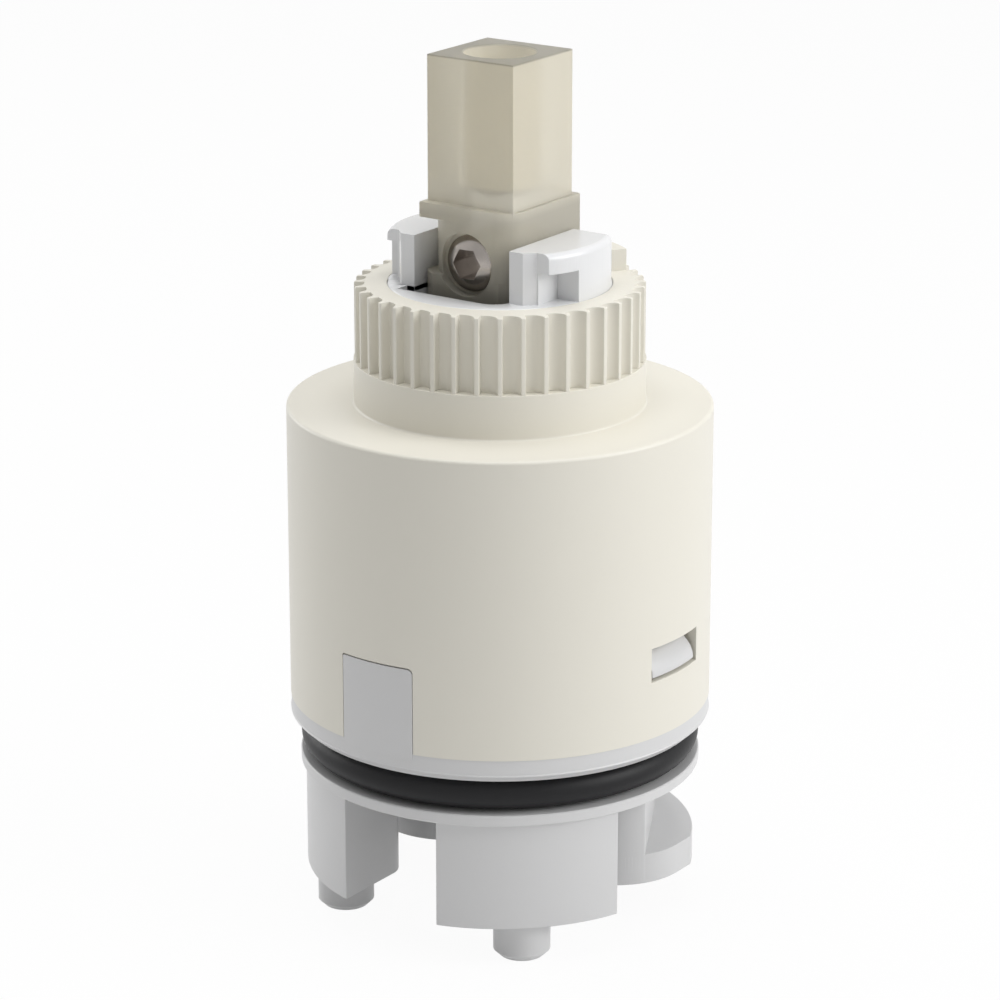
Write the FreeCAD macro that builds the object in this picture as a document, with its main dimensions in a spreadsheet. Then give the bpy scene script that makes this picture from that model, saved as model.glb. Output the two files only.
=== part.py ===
"""Single-lever mixer cartridge of the 35 mm class, in millimetres.

Z points up the cartridge axis from the seat plane, where the legs and the inlet bosses end.
The key tab and the flow limit screw face -Y, the snap hooks face +X and -X, and the lever
pivots about X. At rest the lever stands upright, which is the closed position.
"""
import FreeCAD, Part
import Sketcher
import math
import os

doc = FreeCAD.newDocument("MixerCartridge")
Vector = FreeCAD.Vector

# Driving dimensions, kept in the document's sheet under the same names
DIMENSIONS = {
    # base, from the seat plane upwards
    "leg_height": 9.12,
    "foot_step": 1.2,
    "leg_gap": 9.1,
    "leg_back": 5.3,
    "leg_inner": 7.1,
    "leg_corner": 2.0,
    "pin_angle": 47.44,
    "pin_radius": 2.35,
    "pin_wall": 0.65,
    "pin_length": 3.35,
    "pin_chamfer": 0.5,
    "inlet_angle": 28.42,
    "inlet_wall": 0.485,
    "boss_flat_step": 1.1,
    "boss_radius": 6.3,
    "pad_thick": 2.6,
    "inlet_radius": 2.6,
    "inlet_seal_radius": 4.95,
    "inlet_seal_wall": 2.1,
    "inlet_seal_seat": 1.8,
    "inlet_seal_proud": 0.3,
    "flange_step": 0.8,
    "flange_thick": 0.94,
    "groove_depth": 3.65,
    "groove_width": 3.07,
    "cord_radius": 1.325,
    "cord_slack": 0.15,
    "shelf_thick": 1.97,
    "shelf_round": 0.85,
    "cup_floor": 3.9,
    "cup_wall": 2.5,
    "rim_gap": 0.3,
    "tab_width": 6.83,
    "tab_height": 7.2,
    "tab_corner": 0.6,
    "tab_gap": 0.06,
    # housing
    "housing_radius": 17.5,
    "housing_wall": 1.75,
    "housing_height": 24.9,
    "roof_thick": 2.0,
    "plug_gap": 0.15,
    "window_width": 6.71,
    "window_sill": 4.8,
    "window_height": 2.9,
    "roof_round": 0.3,
    "hook_angle": 20.4,
    "hook_depth": 1.35,
    "hook_drop": 0.15,
    "hook_edge": 0.35,
    "hook_bulge": 3.0,
    "hook_slot": 0.9,
    "collar_ledge": 0.1,
    "collar_height": 3.7,
    "neck_wall": 0.68,
    "stop_rib_width": 4.0,
    "stop_rib_depth": 1.35,
    "stop_rib_height": 3.3,
    # temperature limit ring
    "ring_wall": 1.52,
    "ring_height": 6.3,
    "ring_roof": 1.25,
    "ring_gap": 0.3,
    "ring_seat": 0.05,
    "neck_gap": 0.15,
    "ring_round": 0.3,
    "tooth_count": 40,
    "tooth_phase": -1.15,
    "tooth_land": 1.6,
    "flute_depth": 0.85,
    "flute_round": 0.8,
    "flute_turn": 4.0,
    "flute_edge": 0.05,
    "spline_count": 20,
    "spline_height": 0.35,
    "spline_width": 1.5,
    "spline_length": 3.0,
    "spline_base": 1.7,
    "ring_tooth_width": 1.4,
    "spline_fit": 0.08,
    "lug_inner": 9.67,
    "lug_outer": 10.98,
    "lug_height": 1.8,
    "lug_angle": 72.0,
    "nose_width": 1.9,
    "nose_reach": 8.0,
    # lever guide
    "guide_radius": 9.15,
    "guide_fit": 0.07,
    "guide_flange_gap": 0.55,
    "guide_flange_thick": 3.0,
    "slip_ring_thick": 0.55,
    "slip_ring_width": 2.9,
    "slip_ring_edge": 0.5,
    "slip_gap": 0.05,
    "turn_half_range": 50.0,
    "turn_margin": 1.3,
    "stop_gap": 0.4,
    "wing_height": 4.25,
    "wing_inner": 4.65,
    "wing_front": 5.4,
    "wing_back": 3.7,
    "wing_bevel": 0.8,
    "wing_face": 1.3,
    "wing_round": 0.55,
    "recess_height": 2.6,
    "recess_inner": 6.9,
    "recess_back": 1.9,
    "throat_front": 6.7,
    "throat_back": 6.25,
    "throat_corner": 1.8,
    "throat_side": 5.4,
    "rail_gap": 0.1,
    "rail_thick": 1.6,
    "rail_length": 16.0,
    "rail_depth": 2.9,
    # lever stem
    "pivot_drop": 2.0,
    "pivot_pin_radius": 1.5,
    "pin_recess": 0.35,
    "pivot_fit": 0.05,
    "pin_fit": 0.02,
    "pin_edge": 0.2,
    "hub_radius": 5.9,
    "hub_width": 9.0,
    "hub_top": 3.15,
    "neck_corner": 1.9,
    "neck_round": 3.9,
    "stem_collar_y": 9.9,
    "stem_collar_thick": 1.3,
    "shoulder_rise": 9.0,
    "head_side": 8.38,
    "head_height": 11.88,
    "head_hole_radius": 2.95,
    "head_hole_depth": 10.6,
    "head_hole_tip": 1.2,
    "arm_length": 13.0,
    "arm_width": 6.0,
    "arm_depth": 4.4,
    "foot_width": 6.4,
    "foot_ball": 2.5,
    "tilt_range": 25.0,
    # flow limit screw
    "screw_rise": 4.35,
    "screw_radius": 2.3,
    "screw_fit": 0.06,
    "screw_rear": 2.2,
    "screw_dome": 3.0,
    "screw_setback": 0.2,
    "screw_hole_gap": 0.25,
    "screw_recess_radius": 2.7,
    "screw_recess_depth": 1.45,
    "hexagon": 2.5,
    "hexagon_depth": 2.0,
    "hexagon_turn": 20.0,
    # discs, carrier and their seals
    "fixed_disc_thick": 4.0,
    "moving_disc_inset": 1.0,
    "moving_disc_thick": 4.0,
    "port_radius": 7.4,
    "port_half_width": 1.4,
    "port_start": 25.0,
    "port_end": 65.0,
    "outlet_radius": 2.9,
    "passage_depth": 8.0,
    "passage_overlap": 2.0,
    "chamber_half_width": 4.4,
    "chamber_run": 4.1,
    "port_seal_wall": 1.0,
    "port_seal_height": 1.8,
    "port_seal_proud": 0.3,
    "port_seal_inset": 0.2,
    "outlet_seal_play": 0.15,
    "outlet_seal_wall": 0.95,
    "seal_gap": 0.05,
    "disc_key_width": 2.8,
    "disc_key_depth": 1.1,
    "key_fit": 0.1,
    "carrier_plate_thick": 3.9,
    "carrier_block_width": 17.8,
    "carrier_height": 7.0,
    "carrier_gap": 0.1,
    "carrier_chamber": 2.0,
    "carrier_seal_inset": 0.8,
    "carrier_seal_wall": 1.3,
    "carrier_seal_height": 1.4,
    "tower_height": 2.1,
    "tower_wall": 1.6,
    "tower_gap": 0.3,
    "slot_fit": 0.15,
    "slot_side": 0.2,
    "slot_floor": 4.3,
    "drive_lug_width": 2.8,
    "drive_lug_depth": 1.2,
    "drive_lug_height": 2.0,
    "damper_thick": 1.2,
    "damper_hole_radius": 0.65,
    "damper_pitch": 2.2,
}


class Size:
    """A length or angle that knows its number and the sheet expression behind it."""

    def __init__(self, value, text):
        self.value = float(value)
        self.text = text

    def combine(self, other, sign, swap=False):
        other = size(other)
        first, second = (other, self) if swap else (self, other)
        results = {
            "+": lambda a, b: a + b,
            "-": lambda a, b: a - b,
            "*": lambda a, b: a * b,
            "/": lambda a, b: a / b,
        }
        return Size(results[sign](first.value, second.value), f"({first.text} {sign} {second.text})")

    def __add__(self, other):
        return self.combine(other, "+")

    def __radd__(self, other):
        return self.combine(other, "+", True)

    def __sub__(self, other):
        return self.combine(other, "-")

    def __rsub__(self, other):
        return self.combine(other, "-", True)

    def __mul__(self, other):
        return self.combine(other, "*")

    def __rmul__(self, other):
        return self.combine(other, "*", True)

    def __truediv__(self, other):
        return self.combine(other, "/")

    def __rtruediv__(self, other):
        return self.combine(other, "/", True)

    def __neg__(self):
        return self * -1


def size(number):
    return number if isinstance(number, Size) else Size(number, repr(float(number)))


def root(number):
    return Size(math.sqrt(number.value), f"sqrt({number.text})")


def sine(angle):
    angle = size(angle)
    return Size(math.sin(math.radians(angle.value)), f"sin({angle.text})")


def cosine(angle):
    angle = size(angle)
    return Size(math.cos(math.radians(angle.value)), f"cos({angle.text})")


def polar(radius, angle):
    """The point at this radius and at this angle from +X."""
    return radius * cosine(angle), radius * sine(angle)


def on_circle(radius, offset):
    """How far a circle about the axis reaches at this offset from it."""
    return root(radius * radius - offset * offset)


class Dimensions:
    """The sheet's cells by name."""

    def __init__(self, numbers):
        self.sheet = doc.addObject("Spreadsheet::Sheet", "Sizes")
        for row, (name, number) in enumerate(numbers.items(), start=1):
            self.sheet.set(f"A{row}", name)
            self.sheet.set(f"B{row}", str(number))
            self.sheet.setAlias(f"B{row}", name)
            setattr(self, name, Size(number, f"Sizes.{name}"))


d = Dimensions(DIMENSIONS)
doc.recompute()


def bind(thing, path, amount):
    """Tie a property to its sheet expression."""
    thing.setExpression(path, size(amount).text)


class Profile:
    """A sketch on one of a body's origin planes, with every corner tied to the sheet."""

    def __init__(self, piece, plane, offset):
        self.sketch = piece.body.newObject("Sketcher::SketchObject", f"{piece.body.Label}_outline")
        self.sketch.AttachmentSupport = (piece.origin(plane), [""])
        self.sketch.MapMode = "FlatFace"
        bind(self.sketch, "AttachmentOffset.Base.z", offset)

    def place(self, geometry, corner, x, y):
        for kind, number in (("DistanceX", size(x)), ("DistanceY", size(y))):
            index = self.sketch.addConstraint(
                Sketcher.Constraint(kind, -1, 1, geometry, corner, number.value))
            bind(self.sketch, f"Constraints[{index}]", number)

    def loop(self, points):
        """A closed outline. A point is x, y, and the radius of the arc that leads to it, if any:
        positive where the arc runs anticlockwise, negative where it runs clockwise."""
        corners = []
        for index, point in enumerate(points):
            corners.append(self.edge(points[index - 1], point))
        for index, (geometry, start, end) in enumerate(corners):
            following, next_start, next_end = corners[(index + 1) % len(corners)]
            self.sketch.addConstraint(
                Sketcher.Constraint("Coincident", geometry, end, following, next_start))
            self.place(geometry, end, points[index][0], points[index][1])
        return self

    def edge(self, start, end):
        first = Vector(size(start[0]).value, size(start[1]).value, 0)
        last = Vector(size(end[0]).value, size(end[1]).value, 0)
        if len(end) == 2:
            return self.sketch.addGeometry(Part.LineSegment(first, last), False), 1, 2
        radius = abs(end[2].value)
        anticlockwise = end[2].value > 0
        if not anticlockwise:
            first, last = last, first
        half = (last - first) * 0.5
        height = math.sqrt(max(radius * radius - half.Length * half.Length, 0))
        centre = first + half + Vector(-half.y, half.x, 0).normalize() * height
        angles = [math.atan2(p.y - centre.y, p.x - centre.x) for p in (first, last)]
        circle = Part.Circle(centre, Vector(0, 0, 1), radius)
        geometry = self.sketch.addGeometry(Part.ArcOfCircle(circle, angles[0], angles[1]), False)
        index = self.sketch.addConstraint(Sketcher.Constraint("Radius", geometry, radius))
        bind(self.sketch, f"Constraints[{index}]", end[2] if anticlockwise else -end[2])
        return (geometry, 1, 2) if anticlockwise else (geometry, 2, 1)

    def circle(self, x, y, radius):
        geometry = self.sketch.addGeometry(
            Part.Circle(Vector(size(x).value, size(y).value, 0), Vector(0, 0, 1), radius.value), False)
        index = self.sketch.addConstraint(Sketcher.Constraint("Radius", geometry, radius.value))
        bind(self.sketch, f"Constraints[{index}]", radius)
        self.place(geometry, 3, x, y)
        return self

    def box(self, x_low, x_high, y_low, y_high):
        return self.loop([(x_low, y_low), (x_high, y_low), (x_high, y_high), (x_low, y_high)])

    def slot(self, half_width, y_low, y_high):
        """Two half circles along Y, with their centres at the two heights."""
        return self.loop([
            (half_width, y_high),
            (0, y_high + half_width, half_width),
            (-half_width, y_high, half_width),
            (-half_width, y_low),
            (0, y_low - half_width, half_width),
            (half_width, y_low, half_width),
        ])

    def kidney(self, radius, half_width, start, end):
        """A bent slot about the axis, between two angles from +X."""
        inner = radius - half_width
        outer = radius + half_width
        start_x, start_y = polar(radius, start)
        end_x, end_y = polar(radius, end)
        return self.loop([
            (*polar(outer, start), half_width),
            (*polar(outer, end), outer),
            (end_x - half_width * sine(end), end_y + half_width * cosine(end), half_width),
            (*polar(inner, end), half_width),
            (*polar(inner, start), -inner),
            (start_x + half_width * sine(start), start_y - half_width * cosine(start), half_width),
        ])


class Piece:
    """One sub-part: a body built from sketches, whose label names its node."""

    def __init__(self, label):
        self.body = doc.addObject("PartDesign::Body", label)
        self.body.Label = label
        PIECES.append(self.body)

    def origin(self, role):
        return [item for item in self.body.Origin.OriginFeatures if item.Role == role][0]

    def sketch(self, plane="XY_Plane", offset=0):
        return Profile(self, plane, offset)

    def feature(self, kind, profile, reverse=False):
        item = self.body.newObject(f"PartDesign::{kind}", f"{self.body.Label}_{kind}")
        item.Profile = profile.sketch
        item.Reversed = reverse
        return item

    def pad(self, profile, length, reverse=False, middle=False):
        item = self.feature("Pad", profile, reverse)
        item.Midplane = middle
        bind(item, "Length", length)
        return item

    def pocket(self, profile, length, reverse=False, middle=False):
        item = self.feature("Pocket", profile, reverse)
        item.Midplane = middle
        bind(item, "Length", length)
        return item

    def revolve(self, profile, angle=360, middle=False):
        item = self.feature("Revolution", profile)
        item.ReferenceAxis = (self.origin("Z_Axis"), [""])
        item.Midplane = middle
        bind(item, "Angle", angle)
        return item

    def groove(self, profile):
        item = self.feature("Groove", profile)
        item.ReferenceAxis = (self.origin("Z_Axis"), [""])
        item.Angle = 360
        return item

    def ring_of(self, features, count):
        item = self.body.newObject("PartDesign::PolarPattern", f"{self.body.Label}_ring")
        item.Originals = features
        item.Axis = (self.origin("Z_Axis"), [""])
        item.Angle = 360
        bind(item, "Occurrences", count)
        self.body.Tip = item
        return item

    def mirror_x(self, features):
        item = self.body.newObject("PartDesign::Mirrored", f"{self.body.Label}_mirror")
        item.Originals = features
        item.MirrorPlane = (self.origin("YZ_Plane"), [""])
        self.body.Tip = item
        return item

    def soften(self, kind, amount, wanted):
        """Fillet or chamfer the edges that the test picks out."""
        doc.recompute()
        tip = self.body.Tip
        names = [f"Edge{n}" for n, edge in enumerate(tip.Shape.Edges, start=1) if wanted(edge)]
        item = self.body.newObject(f"PartDesign::{kind}", f"{self.body.Label}_{kind}")
        item.Base = (tip, names)
        bind(item, "Radius" if kind == "Fillet" else "Size", amount)
        self.body.Tip = item
        return item


PIECES = []

# Levels above the seat plane and lengths that several pieces share
flange_top = d.leg_height + d.flange_thick
groove_top = flange_top + d.groove_width
shelf_top = groove_top + d.shelf_thick
floor_z = shelf_top + d.cup_floor
fixed_low = floor_z + d.port_seal_proud
fixed_top = fixed_low + d.fixed_disc_thick
moving_top = fixed_top + d.moving_disc_thick
carrier_top = moving_top + d.carrier_height
housing_top = shelf_top + d.housing_height
roof_low = housing_top - d.roof_thick
slip_low = roof_low - d.slip_ring_thick
guide_flange_top = slip_low - d.slip_gap
guide_flange_low = guide_flange_top - d.guide_flange_thick
collar_top = housing_top + d.collar_height
guide_top = collar_top + d.ring_height
pivot_z = guide_top - d.pivot_drop
shoulder_z = pivot_z + d.shoulder_rise
head_top = shoulder_z + d.head_height
foot_z = pivot_z - d.arm_length
screw_z = pivot_z + d.screw_rise
collar_low = shoulder_z - d.stem_collar_thick
bore_radius = d.guide_radius + d.guide_fit
neck_radius = bore_radius + d.neck_wall
inner_radius = d.housing_radius - d.housing_wall
foot_radius = d.housing_radius - d.foot_step
flange_radius = d.housing_radius - d.flange_step
groove_radius = d.housing_radius - d.groove_depth
boss_flat = groove_radius - d.boss_flat_step
inlet_reach = boss_flat - d.inlet_radius - d.inlet_wall
inlet_x, inlet_y = polar(inlet_reach, d.inlet_angle)
pin_x, pin_y = polar(foot_radius - d.pin_wall - d.pin_radius, -d.pin_angle)
plug_radius = inner_radius - d.plug_gap
stroke = d.arm_length * sine(d.tilt_range)
disc_offset = stroke / 2
ring_inner = neck_radius + d.spline_height + d.spline_fit
ring_radius = ring_inner + d.ring_wall
collar_radius = ring_radius + d.collar_ledge
neck_top = guide_top - d.ring_roof - d.neck_gap
rib_inner = inner_radius - d.stop_rib_depth
cup_radius = plug_radius - d.cup_wall
fixed_disc_radius = cup_radius - d.key_fit
moving_disc_radius = fixed_disc_radius - d.moving_disc_inset
rim_top = fixed_top - d.rim_gap
outlet_seal_outer = d.outlet_radius + d.outlet_seal_play + d.outlet_seal_wall
slot_x = d.foot_width / 2 + d.slot_side
slot_y = d.foot_ball + d.slot_fit
tower_x = slot_x + d.tower_wall
tower_y = slot_y + d.tower_wall
tower_top = carrier_top + d.tower_height
throat_floor = pivot_z - d.hub_radius - d.slot_side


def is_near(number, target):
    return abs(number - size(target).value) < 0.01


def make_base():
    """Moulded base: drum, flanges, cup, key tab, snap hooks, legs, locating pins and inlet bosses."""
    base = Piece("base")
    base.revolve(base.sketch("XZ_Plane").loop([
        (0, d.leg_height),
        (flange_radius, d.leg_height),
        (flange_radius, flange_top),
        (groove_radius, flange_top),
        (groove_radius, groove_top),
        (d.housing_radius - d.shelf_round, groove_top),
        (d.housing_radius, groove_top + d.shelf_round, d.shelf_round),
        (d.housing_radius, shelf_top),
        (plug_radius, shelf_top),
        (plug_radius, rim_top),
        (cup_radius, rim_top),
        (cup_radius, floor_z),
        (0, floor_z),
    ]))
    add_legs(base)
    add_inlets(base)
    add_tab(base)
    add_hooks(base)
    cut_passages(base)
    return base


def add_legs(base):
    half_gap = d.leg_gap / 2
    leg = base.pad(base.sketch().loop([
        (half_gap, -on_circle(foot_radius, half_gap)),
        (on_circle(foot_radius, d.leg_back), -d.leg_back, foot_radius),
        (half_gap + d.leg_corner, -d.leg_inner),
        (half_gap, -d.leg_inner - d.leg_corner, d.leg_corner),
    ]), d.leg_height)
    pin = base.pad(base.sketch(offset=-d.pin_length).circle(pin_x, pin_y, d.pin_radius),
                   d.pin_length)
    base.mirror_x([leg, pin])
    base.soften("Chamfer", d.pin_chamfer, lambda edge: all(
        is_near(v.Z, -d.pin_length) for v in edge.Vertexes))


def add_inlets(base):
    """Two bosses: a low pad out to the foot circle, and a column up to the flange inside it."""
    side = inlet_x + d.boss_radius
    near = inlet_x - d.boss_radius
    front = inlet_y - d.boss_radius
    pad = base.pad(base.sketch().loop([
        (near, inlet_y),
        (inlet_x, front, d.boss_radius),
        (side, inlet_y, d.boss_radius),
        (side, on_circle(foot_radius, side)),
        (near, on_circle(foot_radius, near), foot_radius),
    ]), d.pad_thick)
    # the column's outer wall is a flat across the boss, up to the drum's circle at its rear
    cos, sin = polar(1, d.inlet_angle)
    front_half = on_circle(d.boss_radius, boss_flat - inlet_reach)
    rear_half = on_circle(groove_radius, boss_flat)
    column = base.pad(base.sketch().loop([
        (near, inlet_y),
        (inlet_x, front, d.boss_radius),
        (boss_flat * cos + front_half * sin, boss_flat * sin - front_half * cos, d.boss_radius),
        (boss_flat * cos - rear_half * sin, boss_flat * sin + rear_half * cos),
        (near, on_circle(groove_radius, near), groove_radius),
    ]), d.leg_height)
    base.mirror_x([pad, column])


def add_tab(base):
    """Key tab flush with the housing, and two keys in the cup for the fixed disc."""
    half = d.tab_width / 2
    inner = plug_radius - d.cup_wall / 2
    tab = base.pad(base.sketch(offset=shelf_top).loop([
        (-half, -on_circle(d.housing_radius, half)),
        (half, -on_circle(d.housing_radius, half), d.housing_radius),
        (half, -on_circle(inner, half)),
        (-half, -on_circle(inner, half), -inner),
    ]), d.tab_height)
    base.body.Tip = tab
    base.soften("Fillet", d.tab_corner, lambda edge: (
        is_near(edge.BoundBox.ZMin, shelf_top + d.tab_height)
        and is_near(abs(edge.CenterOfMass.x), half)
        and edge.CenterOfMass.y < -plug_radius.value + 0.5))
    key = d.disc_key_width / 2
    for side in (-1, 1):
        low = side * (cup_radius - d.disc_key_depth)
        high = side * (cup_radius + d.cup_wall / 2)
        y_low, y_high = (low, high) if side > 0 else (high, low)
        base.pad(base.sketch(offset=floor_z).box(-key, key, y_low, y_high), rim_top - floor_z)


def add_hooks(base):
    """Two snap hooks on the cup's rim, which clip into the housing's windows."""
    under = shelf_top + d.window_sill + d.hook_drop
    over = shelf_top + d.window_sill + d.window_height - d.hook_drop / 3
    hook = base.revolve(base.sketch("XZ_Plane").loop([
        (plug_radius - d.cup_wall / 2, under),
        (plug_radius + d.hook_depth, under),
        (plug_radius + d.hook_depth, under + d.hook_edge),
        (plug_radius, over, d.hook_bulge),
        (plug_radius - d.cup_wall / 2, over),
    ]), d.hook_angle, middle=True)
    hook_side = (plug_radius + d.hook_depth) * sine(d.hook_angle / 2)
    cut_low = hook_side + d.hook_slot / 5
    cut_high = cut_low + d.hook_slot
    inner = cup_radius - d.rim_gap
    outer = plug_radius + d.rim_gap
    slots = [base.pocket(base.sketch(offset=rim_top).box(inner, outer, y_low, y_high),
                         rim_top - floor_z)
             for y_low, y_high in ((cut_low, cut_high), (-cut_high, -cut_low))]
    base.mirror_x([hook])
    base.mirror_x(slots)


def cut_passages(base):
    """Port seal recesses, the two inlet passages, the outlet and the seats under the bosses."""
    recess_wide = d.port_half_width + d.port_seal_inset + d.port_seal_wall + d.seal_gap
    recess_round = outlet_seal_outer + d.seal_gap
    recess_depth = d.port_seal_height - d.port_seal_proud
    start = 90 - d.port_end
    end = 90 - d.port_start
    recess = base.pocket(
        base.sketch(offset=floor_z).kidney(d.port_radius, recess_wide, start, end), recess_depth)
    passage = base.pocket(
        base.sketch(offset=floor_z).kidney(d.port_radius, d.port_half_width, start, end),
        d.passage_depth)
    bore = base.pocket(base.sketch().circle(inlet_x, inlet_y, d.inlet_radius),
                       floor_z - d.passage_depth + d.passage_overlap, reverse=True)
    seat = base.pocket(
        base.sketch().circle(inlet_x, inlet_y, d.inlet_seal_radius + d.seal_gap),
        d.inlet_seal_seat, reverse=True)
    base.mirror_x([recess, passage, bore, seat])
    base.pocket(base.sketch(offset=floor_z).circle(0, 0, recess_round), recess_depth)
    base.pocket(base.sketch(offset=floor_z).circle(0, 0, d.outlet_radius), floor_z)


def make_body_o_ring():
    ring = Piece("body_o_ring")
    ring.revolve(ring.sketch("XZ_Plane").circle(
        groove_radius + d.cord_slack + d.cord_radius, (flange_top + groove_top) / 2, d.cord_radius))


def make_inlet_seal(name, side):
    seal = Piece(name)
    across = side * inlet_x
    seal.pad(seal.sketch(offset=-d.inlet_seal_proud)
             .circle(across, inlet_y, d.inlet_seal_radius)
             .circle(across, inlet_y, d.inlet_seal_radius - d.inlet_seal_wall),
             d.inlet_seal_seat + d.inlet_seal_proud)


def make_port_seal(name, start, end):
    seal = Piece(name)
    inside = d.port_half_width + d.port_seal_inset
    seal.pad(seal.sketch(offset=fixed_low - d.port_seal_height)
             .kidney(d.port_radius, inside + d.port_seal_wall, start, end)
             .kidney(d.port_radius, inside, start, end),
             d.port_seal_height)


def make_outlet_seal():
    seal = Piece("disc_seal_outlet")
    seal.pad(seal.sketch(offset=fixed_low - d.port_seal_height)
             .circle(0, 0, outlet_seal_outer)
             .circle(0, 0, outlet_seal_outer - d.outlet_seal_wall),
             d.port_seal_height)


def make_fixed_disc():
    """Ceramic disc with two inlet ports, the outlet and two key notches."""
    disc = Piece("fixed_ceramic_disc")
    disc.pad(disc.sketch(offset=fixed_low)
             .circle(0, 0, fixed_disc_radius)
             .circle(0, 0, d.outlet_radius)
             .kidney(d.port_radius, d.port_half_width, 90 - d.port_end, 90 - d.port_start)
             .kidney(d.port_radius, d.port_half_width, 90 + d.port_start, 90 + d.port_end),
             d.fixed_disc_thick)
    half = d.disc_key_width / 2 + d.key_fit
    depth = d.disc_key_depth + d.key_fit
    for side in (-1, 1):
        low = side * (fixed_disc_radius - depth)
        high = side * (fixed_disc_radius + d.cup_wall)
        y_low, y_high = (low, high) if side > 0 else (high, low)
        disc.pocket(disc.sketch(offset=fixed_top).box(-half, half, y_low, y_high), d.fixed_disc_thick)


def make_moving_disc():
    """Ceramic disc with the mixing chamber, driven by the carrier's two lugs."""
    disc = Piece("moving_ceramic_disc")
    disc.pad(disc.sketch(offset=fixed_top)
             .circle(0, -disc_offset, moving_disc_radius)
             .slot(d.chamber_half_width, -d.chamber_run, 0),
             d.moving_disc_thick)
    half = d.drive_lug_width / 2 + d.key_fit
    notch = disc.pocket(disc.sketch(offset=moving_top).box(
        moving_disc_radius - d.drive_lug_depth - d.key_fit, moving_disc_radius + d.cup_wall,
        -disc_offset - half, -disc_offset + half), d.drive_lug_height + 4 * d.key_fit)
    disc.mirror_x([notch])


def make_noise_damper():
    """Perforated insert in the mixing chamber."""
    damper = Piece("noise_damper")
    plate = damper.sketch(offset=moving_top - d.carrier_gap * 5 - d.damper_thick)
    plate.slot(d.chamber_half_width - d.carrier_gap, -d.chamber_run, 0)
    middle = -d.chamber_run / 2
    for column in (-1, 0, 1):
        for step in (-2, -1, 0, 1, 2) if column == 0 else (-1.5, -0.5, 0.5, 1.5):
            plate.circle(column * d.damper_pitch, middle + step * d.damper_pitch, d.damper_hole_radius)
    damper.pad(plate, d.damper_thick)


def make_disc_carrier():
    """Slider on the moving disc: plate, block between the guide's rails, and the foot's tower."""
    carrier = Piece("disc_carrier")
    block_low = moving_top + d.carrier_plate_thick
    half = d.carrier_block_width / 2
    reach = on_circle(moving_disc_radius, half)
    carrier.pad(carrier.sketch(offset=moving_top).circle(0, -disc_offset, moving_disc_radius),
                d.carrier_plate_thick)
    carrier.pad(carrier.sketch(offset=block_low).loop([
        (half, -disc_offset - reach),
        (half, -disc_offset + reach),
        (0, -disc_offset + moving_disc_radius, moving_disc_radius),
        (-half, -disc_offset + reach, moving_disc_radius),
        (-half, -disc_offset - reach),
        (0, -disc_offset - moving_disc_radius, moving_disc_radius),
        (half, -disc_offset - reach, moving_disc_radius),
    ][1:]), carrier_top - block_low)
    carrier.pad(carrier.sketch(offset=carrier_top).box(-tower_x, tower_x, -tower_y, tower_y),
                d.tower_height)
    lug_half = d.drive_lug_width / 2
    lug = carrier.pad(carrier.sketch(offset=moving_top - d.drive_lug_height).box(
        moving_disc_radius - d.drive_lug_depth, moving_disc_radius - d.key_fit,
        -disc_offset - lug_half, -disc_offset + lug_half), d.drive_lug_height)
    carrier.mirror_x([lug])
    carrier.pocket(carrier.sketch(offset=tower_top).box(-slot_x, slot_x, -slot_y, slot_y),
                   tower_top - moving_top - d.slot_floor)
    carrier.pocket(carrier.sketch(offset=moving_top).slot(d.chamber_half_width, -d.chamber_run, 0),
                   d.carrier_chamber, reverse=True)
    seal_inner = d.chamber_half_width + d.carrier_seal_inset
    carrier.pocket(carrier.sketch(offset=moving_top)
                   .slot(seal_inner + d.carrier_seal_wall + d.carrier_gap, -d.chamber_run, 0)
                   .slot(seal_inner - d.carrier_gap, -d.chamber_run, 0),
                   d.carrier_seal_height, reverse=True)


def make_carrier_seal():
    seal = Piece("carrier_seal")
    inner = d.chamber_half_width + d.carrier_seal_inset
    seal.pad(seal.sketch(offset=moving_top)
             .slot(inner + d.carrier_seal_wall, -d.chamber_run, 0)
             .slot(inner, -d.chamber_run, 0),
             d.carrier_seal_height)


def make_slip_ring():
    ring = Piece("guide_slip_ring")
    outer = rib_inner - d.slip_ring_edge
    ring.pad(ring.sketch(offset=slip_low)
             .circle(0, 0, outer)
             .circle(0, 0, outer - d.slip_ring_width),
             d.slip_ring_thick)


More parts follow.
